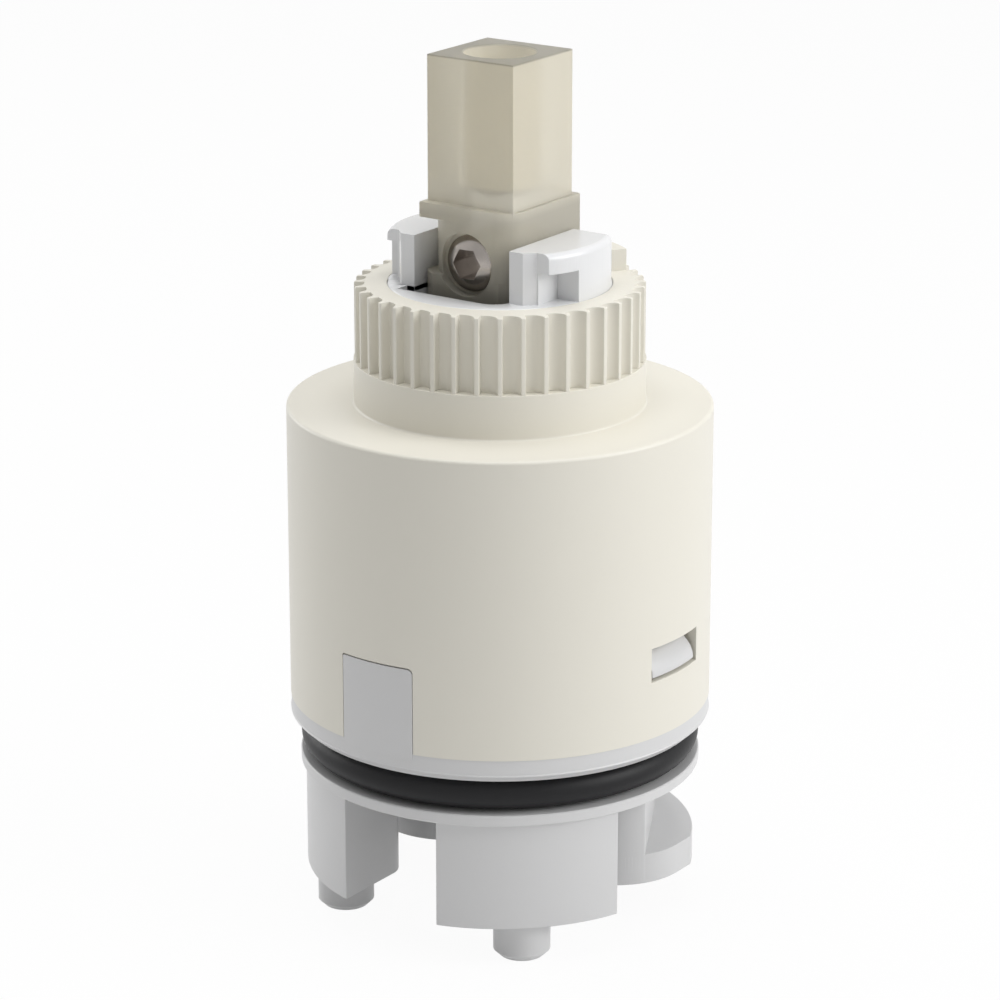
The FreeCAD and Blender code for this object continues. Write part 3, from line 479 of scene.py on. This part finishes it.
def round_the_axis():
    """Instances its input evenly about Z and joins the copies into one mesh."""
    tree = bpy.data.node_groups.new("round_the_axis", "GeometryNodeTree")
    face = tree.interface
    face.new_socket(name="Sector", in_out="INPUT", socket_type="NodeSocketGeometry")
    count = face.new_socket(name="Count", in_out="INPUT", socket_type="NodeSocketInt")
    finish = face.new_socket(name="Finish", in_out="INPUT", socket_type="NodeSocketMaterial")
    face.new_socket(name="Ring", in_out="OUTPUT", socket_type="NodeSocketGeometry")
    nodes, link = tree.nodes, tree.links.new
    given = nodes.new("NodeGroupInput")
    line = nodes.new("GeometryNodeMeshLine")
    line.inputs["Offset"].default_value = (0, 0, 0)
    index = nodes.new("GeometryNodeInputIndex")
    share = nodes.new("ShaderNodeMath")
    share.operation = "DIVIDE"
    angle = nodes.new("ShaderNodeMath")
    angle.operation = "MULTIPLY"
    angle.inputs[1].default_value = math.tau
    turn = nodes.new("ShaderNodeCombineXYZ")
    place = nodes.new("GeometryNodeInstanceOnPoints")
    real = nodes.new("GeometryNodeRealizeInstances")
    weld = nodes.new("GeometryNodeMergeByDistance")
    weld.inputs["Distance"].default_value = 0.002
    paint = nodes.new("GeometryNodeSetMaterial")
    result = nodes.new("NodeGroupOutput")
    link(given.outputs["Count"], line.inputs["Count"])
    link(index.outputs[0], share.inputs[0])
    link(given.outputs["Count"], share.inputs[1])
    link(share.outputs[0], angle.inputs[0])
    link(angle.outputs[0], turn.inputs["Z"])
    link(line.outputs["Mesh"], place.inputs["Points"])
    link(given.outputs["Sector"], place.inputs["Instance"])
    link(turn.outputs[0], place.inputs["Rotation"])
    link(place.outputs[0], real.inputs[0])
    link(real.outputs[0], weld.inputs[0])
    link(weld.outputs[0], paint.inputs["Geometry"])
    link(given.outputs["Finish"], paint.inputs["Material"])
    link(paint.outputs[0], result.inputs[0])
    return tree, count.identifier, finish.identifier


def repeated(piece, count, finish):
    """Turns one sector into a whole ring of them."""
    tree, count_id, finish_id = round_the_axis()
    change = piece.modifiers.new("ring", "NODES")
    change.node_group = tree
    change[count_id] = count
    change[finish_id] = material(finish)
    evaluated(piece)
    bpy.data.node_groups.remove(tree)
    return piece


class PieceOperator:
    bl_options = {"REGISTER", "UNDO"}

    def execute(self, context):
        self.build(context.scene.cartridge_sizes)
        return {"FINISHED"}


class CARTRIDGE_OT_finishes(bpy.types.Operator):
    """Makes the cartridge's materials and paints the inner pieces"""
    bl_idname = "cartridge.finishes"
    bl_label = "Finishes"

    def execute(self, context):
        colours = context.scene.cartridge_finish
        MATERIALS["shell"] = moulded("ivory_shell", colours.ivory, 0.42)
        MATERIALS["ring"] = moulded("ivory_ring", colours.ivory, 0.5, 0.03, 0.00003)
        MATERIALS["white"] = moulded("white_moulding", colours.white, 0.38)
        MATERIALS["guide"] = moulded("white_guide", colours.guide, 0.24, 0.01, 0.000004, 0.25)
        MATERIALS["lever"] = lever_plastic(colours.lever)
        MATERIALS["screw"] = polished_steel("screw_steel", colours.steel, 0.24)
        MATERIALS["pin"] = polished_steel("pin_steel", (0.58, 0.58, 0.58), 0.3)
        MATERIALS["rubber"] = seal_rubber(colours.rubber)
        MATERIALS["ceramic"] = fired_ceramic(colours.ceramic)
        MATERIALS["slip"] = moulded("slip_plastic", (0.8, 0.78, 0.72), 0.45)
        inner = {
            "pivot_pin": "pin", "guide_slip_ring": "slip", "disc_carrier": "white",
            "carrier_seal": "rubber", "moving_ceramic_disc": "ceramic", "noise_damper": "slip",
            "fixed_ceramic_disc": "ceramic", "disc_seal_hot": "rubber", "disc_seal_cold": "rubber",
            "disc_seal_outlet": "rubber", "inlet_seal_hot": "rubber", "inlet_seal_cold": "rubber",
        }
        for node, finish in inner.items():
            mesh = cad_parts[node].data
            mesh.materials.clear()
            mesh.materials.append(material(finish))
        return {"FINISHED"}


class CARTRIDGE_OT_housing(PieceOperator, bpy.types.Operator):
    """The ivory shell with its roof, collar, splined neck, snap windows and key notch"""
    bl_idname = "cartridge.housing"
    bl_label = "Housing"

    def build(self, sizes):
        bore, neck_bore, roof_under, neck_top = 15.75, 9.22, 38.0, 48.6
        brow, fillet, lip, chamfer = 0.3, 0.2, 0.04, 0.2
        profile = [(bore, SHELL_BOTTOM), (BODY_RADIUS, SHELL_BOTTOM)]
        profile += arc(BODY_RADIUS - brow, SHOULDER - brow, brow, 0, 90, 6)
        profile += arc(COLLAR_RADIUS + fillet, SHOULDER + fillet, fillet, 270, 180, 4)
        profile += arc(COLLAR_RADIUS - lip, COLLAR_TOP - lip, lip, 0, 90, 3)
        profile += [(NECK_RADIUS, COLLAR_TOP), (NECK_RADIUS, neck_top - chamfer),
                    (NECK_RADIUS - chamfer, neck_top), (neck_bore, neck_top), (neck_bore, roof_under),
                    (bore, roof_under)]
        shell = lathe("housing_shell", profile)
        inside, outside = 14, 19
        window_half, window_low, window_high = 3.355, 19.9, 22.8
        windows = [bar("window", *span, -window_half, window_half, window_low, window_high)
                   for span in ((inside, outside), (-outside, -inside))]
        side_gap, top_gap = 0.06, 0.12
        notch = block("notch", key_outline(KEY_HALF + side_gap, KEY_TOP + top_gap), -outside, -inside, "Y")
        cut(shell, *windows, notch)
        root, stop_low = 15.9, 34.7
        stop = [(STOP_HALF, reach(STOP_RADIUS, STOP_HALF)), (STOP_HALF, root)]
        join(shell, block("rib", stop + mirrored(stop), stop_low, roof_under + 0.2))
        dress(shell, "root", "ivory_plastic", "shell", "housing")
        half, crest = 0.75, 10.25
        spline = bar("neck_splines", NECK_RADIUS - 0.1, crest, -half, half, SPLINE_LOW, SPLINE_HIGH)
        repeated(soften(spline, 0.08), sizes.spline_count, "shell")
        dress(spline, "root", "ivory_plastic", "shell")


def key_outline(half, top):
    """The key tab's gate seen from the front: nearly sharp on its left, rounder on its right."""
    foot, left, right = 14.0, 0.15, 0.45
    outline = [(-half, foot), (half, foot)]
    outline += arc(half - right, top - right, right, 0, 90, 6)
    return outline + arc(left - half, top - left, left, 90, 180, 4)


def groove_outline(pitch, depth, outer):
    """One pitch of the limit ring's edge as angle and radius: a land, a steep wall, the groove's
    floor and the round sweep up to the next land."""
    land = 0.9
    floor = outer - depth
    sweep, last, count = 0.95, math.radians(80), 10
    degrees_per_mm = 180 / math.pi / outer
    eased = [(land, 0.05), (land - 0.1, 0.012), (land - 0.3, 0.0)]
    points = [(-turn, outer - drop) for turn, drop in eased] + [(0.0, outer)]
    points += [(turn, outer - drop) for turn, drop in reversed(eased)]
    points += [(land + 0.04, outer - 0.12), (land + 0.07, outer - depth * 0.5), (land + 0.12, floor + 0.1),
               (land + 0.2, floor + 0.03), (land + 0.4, floor)]
    start = pitch - land - 0.03 - sweep * math.sin(last) * degrees_per_mm
    for step in range(count + 1):
        angle = last * step / count
        turn = start + sweep * math.sin(angle) * degrees_per_mm
        points.append((turn, floor + sweep * (1 - math.cos(angle))))
    points.append((pitch - land, outer - eased[0][1]))
    return points


class CARTRIDGE_OT_limit_ring(PieceOperator, bpy.types.Operator):
    """The ivory temperature limit ring: finger grooves outside, teeth inside and a stop lug"""
    bl_idname = "cartridge.limit_ring"
    bl_label = "Limit ring"

    def build(self, sizes):
        crown, low, high, soft = 11.85, COLLAR_TOP + 0.01, 50.0, 0.12
        bore, lip_bore, lip_under, chamfer = 10.33, 9.18, 48.75, 0.04
        first_land = 7.85 - 90
        outline = groove_outline(360 / sizes.groove_count, sizes.groove_depth, crown)
        radii = [r for _, r in outline]
        width = len(outline)
        rows = [([bore] * width, low), (radii, low), (radii, high - soft)]
        for limit, z in arc(crown - soft, high - soft, soft, 15, 90, 5):
            rows.append(([min(r, limit) for r in radii], z))
        rows += [([lip_bore + chamfer] * width, high), ([lip_bore] * width, high - chamfer),
                 ([lip_bore] * width, lip_under), ([bore] * width, lip_under)]
        vertices = []
        for row, z in rows:
            for (angle, _), r in zip(outline, row):
                turn = math.radians(angle + first_land)
                vertices.append((r * math.cos(turn), r * math.sin(turn), z))
        faces = []
        for row in range(len(rows)):
            here, after = row * width, (row + 1) % len(rows) * width
            faces += [[here + column, here + column + 1, after + column + 1, after + column]
                      for column in range(width - 1)]
        ring = solid("limit_ring", vertices, faces)
        repeated(ring, sizes.groove_count, "ring")
        face_out(ring.data)
        dress(ring, "limit_ring", "ivory_plastic", "ring", "temperature_limit_ring", smooth=38)
        self.lug(high)
        tip, half = 9.98, 0.7
        tooth = bar("ring_teeth", tip, bore + 0.07, -half, half, SPLINE_LOW, SPLINE_HIGH)
        tooth.data.transform(Matrix.Rotation(math.pi / sizes.spline_count, 4, "Z"))
        repeated(soften(tooth, 0.06), sizes.spline_count, "ring")
        dress(tooth, "limit_ring", "ivory_plastic", "ring")

    def lug(self, ring_top):
        outer, inner, start, end, top = 10.98, 9.67, 54, 126, 51.8
        nose_half, nose_tip, nose_root = 0.95, 8.0, 9.9
        lug = block("stop_lug", arc(0, 0, outer, start, end, 40) + arc(0, 0, inner, end, start, 40),
                    ring_top - 0.1, top)
        nose = bar("nose", -nose_half, nose_half, nose_tip, nose_root, ring_top + 0.3, top)
        soften(join(lug, nose), 0.22, segments=3)
        dress(lug, "limit_ring", "ivory_plastic", "ring")


class CARTRIDGE_OT_lever_guide(PieceOperator, bpy.types.Operator):
    """The white rotating guide with its two wings, stem throat, flange and drive rails"""
    bl_idname = "cartridge.lever_guide"
    bl_label = "Lever guide"

    def build(self, sizes):
        bottom, flange, flange_top, neck, top, chamfer = 34.4, 15.2, 37.4, 9.15, 50.0, 0.1
        profile = [(0, bottom), (flange, bottom), (flange, flange_top), (neck, flange_top),
                   (neck, top - chamfer), (neck - chamfer, top), (0, top)]
        drum = lathe("lever_guide_drum", profile)
        cut(drum, *self.throat(), self.turn_notch())
        soften(drum, sizes.edge)
        cut(drum, rod("pin", 0, PIVOT_HEIGHT, 1.52, -12, 12, "X"))
        join(drum, *[self.wing(side, neck, sizes.edge) for side in (1, -1)])
        rail_in, rail_out, rail_half, rail_low = 9.0, 10.6, 8, 31.5
        join(drum, *[bar("rail", *span, -rail_half, rail_half, rail_low, bottom + 0.1)
                     for span in ((rail_in, rail_out), (-rail_out, -rail_in))])
        dress(drum, "guide", "white_plastic", "guide", "lever_guide", smooth=35)

    def wing(self, side, radius, edge):
        """A wing beside the lever, with its rounded crown and the recess in its front."""
        front, corner, back, foot, top, brow = -5.4, -4.6, 3.7, 49.6, 54.25, 0.55
        start, end = [bearing(reach(radius, y), y) for y in (corner, back)]
        outline = [(THROAT_HALF, front), (5.95, front), (6.76, corner)] + arc(0, 0, radius, start, end, 40)
        outline.append((THROAT_HALF, back))
        wing = block("wing", outline if side > 0 else mirrored(outline), foot, top)
        beyond, above = 10, 55
        profile = [(radius - brow, top), (radius - brow, above), (beyond, above), (beyond, top - brow),
                   (radius, top - brow)]
        crown = lathe("crown", profile + arc(radius - brow, top - brow, brow, 0, 90, 8))
        recess_back, recess_top = (-1.9, 52.6) if side > 0 else (-3.0, 53.25)
        recess = bar("recess", 6.9 * side, 9.8 * side, -5.2, recess_back, 49.99, recess_top)
        return soften(cut(wing, crown, recess), edge * 1.3)

    def turn_notch(self):
        """The gap in the flange that lets the guide turn as far as the housing's stop."""
        play, inner, outer, below, above = 1.3, 14.0, 16.0, 34, 38
        half = LEVER_TURN + math.degrees(math.asin(STOP_HALF / STOP_RADIUS)) + play
        start, end = 90 - half, 90 + half
        outline = arc(0, 0, inner, start, end, 60) + arc(0, 0, outer, end, start, 60)
        return block("notch", outline, below, above)

    def throat(self):
        """Room for the stem: the throat, a step beside it, the arm's slot and the carrier's pocket."""
        front, back, corner, floor, above, below = -6.7, 6.25, 1.8, 41.9, 51, 34.0
        throat = block("throat", [(-THROAT_HALF, front), (THROAT_HALF - corner, front)]
                       + arc(THROAT_HALF - corner, front + corner, corner, 270, 360, 12)
                       + [(THROAT_HALF, back), (-THROAT_HALF, back)], floor, above)
        step_left, step_right, step_back, step_floor = -5.4, -4.6, -5.4, 48.9
        step = bar("step", step_left, step_right, front, step_back, step_floor, above)
        slot_half, slot_front, slot_back = 3.4, -2.6, 8.144
        slot = bar("slot", -slot_half, slot_half, slot_front, slot_back, below, floor + 0.2)
        pocket_half, pocket_front, pocket_back, pocket_top = 5.3, -4.55, 10.044, 36.7
        pocket = bar("pocket", -pocket_half, pocket_half, pocket_front, pocket_back, below, pocket_top)
        return throat, step, slot, pocket


class CARTRIDGE_OT_lever_stem(PieceOperator, bpy.types.Operator):
    """The translucent lever: square head, collar, flatted neck, hub, arm and foot"""
    bl_idname = "cartridge.lever_stem"
    bl_label = "Lever stem"

    def build(self, sizes):
        half, front, back, hub_radius, hub_front = 4.5, -4.95, 4.95, 5.9, -4.93
        hub = rod("lever_stem_moulding", 0, PIVOT_HEIGHT, hub_radius, -half, half, "X")
        barrel = rod("barrel", 0, 0, hub_radius, 40, 51.2)
        combine(hub, "INTERSECT", [barrel, bar("flat", -5, 5, hub_front, 6, 40, 52)])
        neck_foot, neck_top, right, left = 50.6, 57.0, 1.9, 3.9
        plan = arc(half - right, front + right, right, 270, 360, 10) + [(half, back), (-half, back)]
        plan += arc(left - half, front + left, left, 180, 270, 20)
        neck = soften(block("neck", plan, neck_foot, neck_top), 0.12)
        collar = soften(bar("collar", -half, 0, front, 0, 55.7, neck_top), 0.12)
        square = 4.19
        head = soften(bar("head", -square, square, -square, square, 56.5, LEVER_TOP), sizes.edge)
        limb_half, limb_depth, foot_height, foot_radius, foot_half = 3.0, 2.2, 35.0, 2.5, 3.2
        limb = bar("limb", -limb_half, limb_half, -limb_depth, limb_depth, foot_height, 44.0)
        foot = rod("foot", 0, foot_height, foot_radius, -foot_half, foot_half, "X")
        join(hub, neck, collar, head, limb, foot)
        hole, depth, point, chamfer, above = 2.95, 10.6, 1.2, 0.1, 70
        shoulder = LEVER_TOP - depth
        blind = lathe("blind", [(0, shoulder - point), (hole, shoulder), (hole, LEVER_TOP - chamfer),
                                (hole + chamfer, LEVER_TOP), (hole + chamfer, above), (0, above)], steps=96)
        seat_radius, seat_floor, thread_radius, thread_end, cross_radius = 2.6, -4.0, 2.36, 2.45, 1.55
        seat = rod("seat", 0, SCREW_HEIGHT, seat_radius, -6.5, seat_floor, "Y")
        thread = rod("thread", 0, SCREW_HEIGHT, thread_radius, -7, thread_end, "Y")
        cross = rod("cross", 0, PIVOT_HEIGHT, cross_radius, -9, 9, "X")
        cut(hub, blind, seat, thread, cross)
        dress(hub, "stem", "lever_plastic", "lever", "lever_stem", smooth=30)


class CARTRIDGE_OT_flow_screw(PieceOperator, bpy.types.Operator):
    """The steel flow limit screw with its domed face and hexagon socket"""
    bl_idname = "cartridge.flow_screw"
    bl_label = "Flow limit screw"

    def build(self, sizes):
        apex, dome, rim, shank, end, chamfer = 4.9, 3.6, 2.22, 2.3, -2.2, 0.2
        limit = math.degrees(math.asin(rim / dome))
        face = arc(0, apex - dome, dome, 90 - limit, 90, 14)[:-1]
        profile = [(0, end), (shank - chamfer, end), (shank, end + chamfer), (shank, face[0][1] - 0.08)]
        screw = lathe("flow_limit_screw_body", profile + face + [(0, apex)], steps=128)
        across_flats, turn, socket_floor = 2.35, 2, 3.1
        hexagon = arc(0, 0, across_flats / math.sqrt(3), turn, turn + 360, 6)[:-1]
        soften(cut(screw, block("socket", hexagon, socket_floor, apex + 1.1)), 0.03, 50)
        lift = Matrix.Translation((0, 0, SCREW_HEIGHT))
        screw.data.transform(lift @ Matrix.Rotation(math.radians(90), 4, "X"))
        dress(screw, "screw", "screw_steel", "screw", "flow_limit_screw")


class CARTRIDGE_OT_base(PieceOperator, bpy.types.Operator):
    """The white base: flanges, cup, key tab, snap hooks, legs, locating pins and inlet bosses"""
    bl_idname = "cartridge.base"
    bl_label = "Base"

    foot_radius = 16.3
    leg_top = 9.4
    inlet_x, inlet_y = 8.5, 4.6

    def build(self, sizes):
        rim, rim_under, bevel, groove, flange = 16.7, 9.12, 0.08, 13.85, 17.45
        bead = [(16.88, SHELF_UNDER), (17.42, 13.66), (BODY_RADIUS, 13.7), (BODY_RADIUS, 13.76),
                (flange, 13.84)]
        cup, cup_bore, cup_floor, cup_top, chamfer = 15.6, 13.1, 19.0, 23.0, 0.1
        profile = [(0, rim_under), (rim - bevel, rim_under), (rim, rim_under + bevel), (rim, RIM_TOP - bevel),
                   (rim - bevel, RIM_TOP), (groove, RIM_TOP), (groove, SHELF_UNDER)]
        profile += bead
        profile += [(flange, SHELL_BOTTOM), (cup, SHELL_BOTTOM), (cup, cup_top - chamfer),
                    (cup - chamfer, cup_top), (cup_bore, cup_top), (cup_bore, cup_floor), (0, cup_floor)]
        drum = lathe("base_moulding", profile)
        parts = []
        for side in (1, -1):
            parts += [self.leg(side, sizes.edge), self.pin(side), *self.boss(side, groove, sizes.edge)]
        join(drum, *parts)
        self.tab(drum)
        self.hooks(drum, cup_floor, cup_top, sizes.edge)
        self.passages(drum)
        dress(drum, "root", "white_plastic", "white", "base", smooth=30)

    def leg(self, side, edge):
        near, back, corner = 4.55, -5.3, 2.0
        radius = self.foot_radius
        start, end = bearing(near, -reach(radius, near)), bearing(reach(radius, back), back)
        outline = arc(0, 0, radius, start, end, 40) + [(6.9, -7.03)]
        outline += arc(near + corner, -9.0, corner, 84, 180, 10)
        return soften(block("leg", outline if side > 0 else mirrored(outline), 0, self.leg_top), edge)

    def pin(self, side):
        x, y, radius, chamfer, root = 8.996, -9.796, 2.35, 0.5, 0.3
        profile = [(0, PIN_TIP), (radius - chamfer, PIN_TIP), (radius, PIN_TIP + chamfer), (radius, root),
                   (0, root)]
        pin = lathe("pin", profile, steps=64)
        pin.data.transform(Matrix.Translation((x * side, y, 0)))
        return pin

    def boss(self, side, groove, edge):
        """An inlet's pad and, above it, the wall with a flat at its rear."""
        pad_radius, pad_top, near = 6.3, 2.6, 2.2
        x, y, radius = self.inlet_x, self.inlet_y, self.foot_radius
        pad = arc(x, y, pad_radius, 180, 360, 64)
        pad += arc(0, 0, radius, bearing(x + pad_radius, reach(radius, x + pad_radius)),
                   bearing(near, reach(radius, near)), 64)
        flat_start, flat_end = (13.827, 1.237), (8.638, 10.826)
        wall = arc(x, y, pad_radius, 180, bearing(flat_start[0] - x, flat_start[1] - y) + 360, 64)
        wall += arc(0, 0, groove, bearing(*flat_end), bearing(near, reach(groove, near)), 40)
        return [soften(block("boss", outline if side > 0 else mirrored(outline), 0, top), edge)
                for outline, top in ((pad, pad_top), (wall, self.leg_top))]

    def tab(self, drum):
        inner, low, high = -14.4, 14.6, 22.3
        front = -reach(BODY_RADIUS, KEY_HALF)
        plan = arc(0, 0, BODY_RADIUS, bearing(-KEY_HALF, front) + 360, bearing(KEY_HALF, front) + 360, 24)
        tab = block("tab", plan + [(KEY_HALF, inner), (-KEY_HALF, inner)], low, high)
        gate = block("gate", key_outline(KEY_HALF, KEY_TOP), -19, -14, "Y")
        join(drum, combine(tab, "INTERSECT", [gate]))

    def hooks(self, drum, floor, top, edge):
        """Two snap hooks in the shell's windows, each between two slots and on a stiffening key."""
        root, foot, half_turn = 14.4, 20.15, 10.2
        curve = [(17.34, foot), (17.38, 20.3), (17.32, 20.75), (17.12, 21.25), (16.8, 21.7), (16.4, 22.1),
                 (15.95, 22.4), (15.5, 22.55)]
        profile = [(root, foot)] + curve + [(root, curve[-1][1])]
        hooks = [lathe("hook", profile, turn - half_turn, 2 * half_turn, steps=700) for turn in (0, 180)]
        join(drum, *[soften(hook, edge * 0.8, 50) for hook in hooks])
        near, far, inside, outside = 3.2, 4.1, 12.8, 15.9
        cut(drum, *[bar("slot", inside * side, outside * side, low, high, floor, top + 1)
                    for side in (1, -1) for low, high in ((near, far), (-far, -near))])
        half, inner = 1.4, 12.0
        join(drum, *[bar("key", -half, half, *sorted((inner * side, root * side)), floor - 0.1, top)
                     for side in (1, -1)])

    def kidney(self, half_width, low, side):
        """A cutter for one curved port, from this height up through the cup's floor."""
        middle, start, end, above = 7.4, 25, 65, 20
        first, last = arc(0, 0, middle, start, end, 1)
        outline = arc(0, 0, middle + half_width, start, end, 24)
        outline += arc(*last, half_width, end, end + 180, 16)[1:-1]
        outline += arc(0, 0, middle - half_width, end, start, 24)
        outline += arc(*first, half_width, start + 180, start + 360, 16)[1:-1]
        return block("kidney", outline if side > 0 else mirrored(outline), low, above)

    def passages(self, drum):
        port, port_seat, port_floor, seat_floor, above = 1.4, 2.65, 11.0, 17.5, 20
        outlet, outlet_seat, inlet, inlet_seat, inlet_seat_top = 2.9, 4.05, 2.6, 5.0, 1.8
        tools = [rod("outlet", 0, 0, outlet, 8, above),
                 rod("outlet_seat", 0, 0, outlet_seat, seat_floor, above)]
        for side in (1, -1):
            x = self.inlet_x * side
            tools += [self.kidney(port, port_floor, side), self.kidney(port_seat, seat_floor, side),
                      rod("inlet", x, self.inlet_y, inlet, -1, port_floor + 2),
                      rod("seat", x, self.inlet_y, inlet_seat, -1, inlet_seat_top)]
        cut(drum, *tools)


class CARTRIDGE_OT_seals(PieceOperator, bpy.types.Operator):
    """The black O-ring in the base's groove"""
    bl_idname = "cartridge.seals"
    bl_label = "O-ring"

    def build(self, sizes):
        middle, height, thick = 15.325, (RIM_TOP + SHELF_UNDER) / 2, 1.325
        cord = lathe("body_o_ring_cord", arc(middle, height, thick, 0, 360, 40)[:-1])
        dress(cord, "root", "black_rubber", "rubber", "body_o_ring", smooth=80)


class CARTRIDGE_OT_stage(bpy.types.Operator):
    """Camera, lights, pale floor and backdrop"""
    bl_idname = "cartridge.stage"
    bl_label = "Stage"

    def execute(self, context):
        stage = context.scene.cartridge_stage
        scene = context.scene
        scene.view_settings.view_transform = "Standard"
        near = Vector((math.sin(stage.azimuth), -math.cos(stage.azimuth), 0))
        right = Vector((math.cos(stage.azimuth), math.sin(stage.azimuth), 0))
        away = near * math.cos(stage.elevation) + Vector((0, 0, math.sin(stage.elevation)))
        aim = Vector((0, 0, stage.aim))
        lens = bpy.data.cameras.new("camera")
        lens.lens = stage.lens
        lens.sensor_width = 36
        lens.clip_start = 0.01
        camera = bpy.data.objects.new("camera", lens)
        camera.location = aim + away * stage.distance
        camera.rotation_euler = (-away).to_track_quat("-Z", "Y").to_euler()
        scene.collection.objects.link(camera)
        scene.camera = camera
        self.room(scene, stage.ambient)
        for name, across, towards, up, width, power in (
                ("key", 0.42, 0.12, 0.2, 0.3, stage.key), ("overhead", 0.0, 0.02, 0.45, 0.35, stage.top),
                ("rim", -0.36, -0.26, 0.12, 0.25, stage.rim)):
            self.lamp(name, aim + right * across + near * towards + Vector((0, 0, up)), aim, width, power)
        self.floor()
        return {"FINISHED"}

    def lamp(self, name, place, aim, width, power):
        light = bpy.data.lights.new(name, "AREA")
        light.size = width
        light.energy = power
        lamp = bpy.data.objects.new(name, light)
        lamp.location = place
        lamp.rotation_euler = (aim - place).to_track_quat("-Z", "Y").to_euler()
        bpy.context.scene.collection.objects.link(lamp)

    def room(self, scene, ambient):
        world = bpy.data.worlds.new("room")
        scene.world = world
        world.use_nodes = True
        nodes, link = world.node_tree.nodes, world.node_tree.links.new
        plain = nodes["Background"]
        plain.inputs["Color"].default_value = (1, 1, 1, 1)
        plain.inputs["Strength"].default_value = ambient
        seen = nodes.new("ShaderNodeBackground")
        seen.inputs["Strength"].default_value = 1.0
        ray = nodes.new("ShaderNodeLightPath")
        first, both = nodes.new("ShaderNodeMath"), nodes.new("ShaderNodeMath")
        link(ray.outputs["Is Camera Ray"], first.inputs[0])
        link(ray.outputs["Is Glossy Ray"], first.inputs[1])
        link(first.outputs[0], both.inputs[0])
        link(ray.outputs["Is Transmission Ray"], both.inputs[1])
        mix = nodes.new("ShaderNodeMixShader")
        link(both.outputs[0], mix.inputs[0])
        link(plain.outputs[0], mix.inputs[1])
        link(seen.outputs[0], mix.inputs[2])
        link(mix.outputs[0], nodes["World Output"].inputs["Surface"])

    def floor(self):
        half, height = 3, (PIN_TIP - 0.01) * MM
        corners = [(-half, -half), (half, -half), (half, half), (-half, half)]
        plane = solid("floor", [(x, y, height) for x, y in corners], [[0, 1, 2, 3]])
        finish = Finish("pale_floor")
        finish.set(Base_Color=(0.85, 0.85, 0.85, 1), Roughness=0.9)
        glow_share = 0.95
        glow = finish.node("ShaderNodeEmission", {}, {"Strength": 1.0})
        ray = finish.node("ShaderNodeLightPath")
        mix = finish.node("ShaderNodeMixShader")
        seen = sum(Value(finish, ray.outputs[f"Is {kind} Ray"]) for kind in (
            "Camera", "Glossy", "Transmission")) * glow_share
        finish.link(seen, mix.inputs[0])
        finish.tree.links.new(finish.shader.outputs[0], mix.inputs[1])
        finish.tree.links.new(glow.outputs[0], mix.inputs[2])
        finish.tree.links.new(mix.outputs[0], finish.tree.nodes["Material Output"].inputs["Surface"])
        plane.data.materials.append(finish.material)


class CARTRIDGE_PT_panel(bpy.types.Panel):
    """Lists the pieces and their sizes"""
    bl_idname = "CARTRIDGE_PT_panel"
    bl_label = "Mixer cartridge"
    bl_space_type = "VIEW_3D"
    bl_region_type = "UI"
    bl_category = "Cartridge"

    def draw(self, context):
        for group in ("cartridge_sizes", "cartridge_finish", "cartridge_stage"):
            box = self.layout.box()
            settings = getattr(context.scene, group)
            for name in settings.bl_rna.properties.keys():
                if name not in ("rna_type", "name"):
                    box.prop(settings, name)
        for operator in OPERATORS:
            self.layout.operator(operator.bl_idname)


OPERATORS = (CARTRIDGE_OT_finishes, CARTRIDGE_OT_housing, CARTRIDGE_OT_limit_ring, CARTRIDGE_OT_lever_guide,
             CARTRIDGE_OT_lever_stem, CARTRIDGE_OT_flow_screw, CARTRIDGE_OT_base, CARTRIDGE_OT_seals,
             CARTRIDGE_OT_stage)
GROUPS = {"cartridge_sizes": CartridgeSizes, "cartridge_finish": CartridgeFinish,
          "cartridge_stage": CartridgeStage}


def register():
    for group in GROUPS.values():
        bpy.utils.register_class(group)
    for operator in OPERATORS:
        bpy.utils.register_class(operator)
    bpy.utils.register_class(CARTRIDGE_PT_panel)
    for name, group in GROUPS.items():
        setattr(bpy.types.Scene, name, bpy.props.PointerProperty(type=group))


def unregister():
    for name in GROUPS:
        delattr(bpy.types.Scene, name)
    bpy.utils.unregister_class(CARTRIDGE_PT_panel)
    for operator in reversed(OPERATORS):
        bpy.utils.unregister_class(operator)
    for group in GROUPS.values():
        bpy.utils.unregister_class(group)


def main():
    register()
    for operator in OPERATORS:
        area, name = operator.bl_idname.split(".")
        getattr(getattr(bpy.ops, area), name)()


if __name__ == "__main__":
    main()
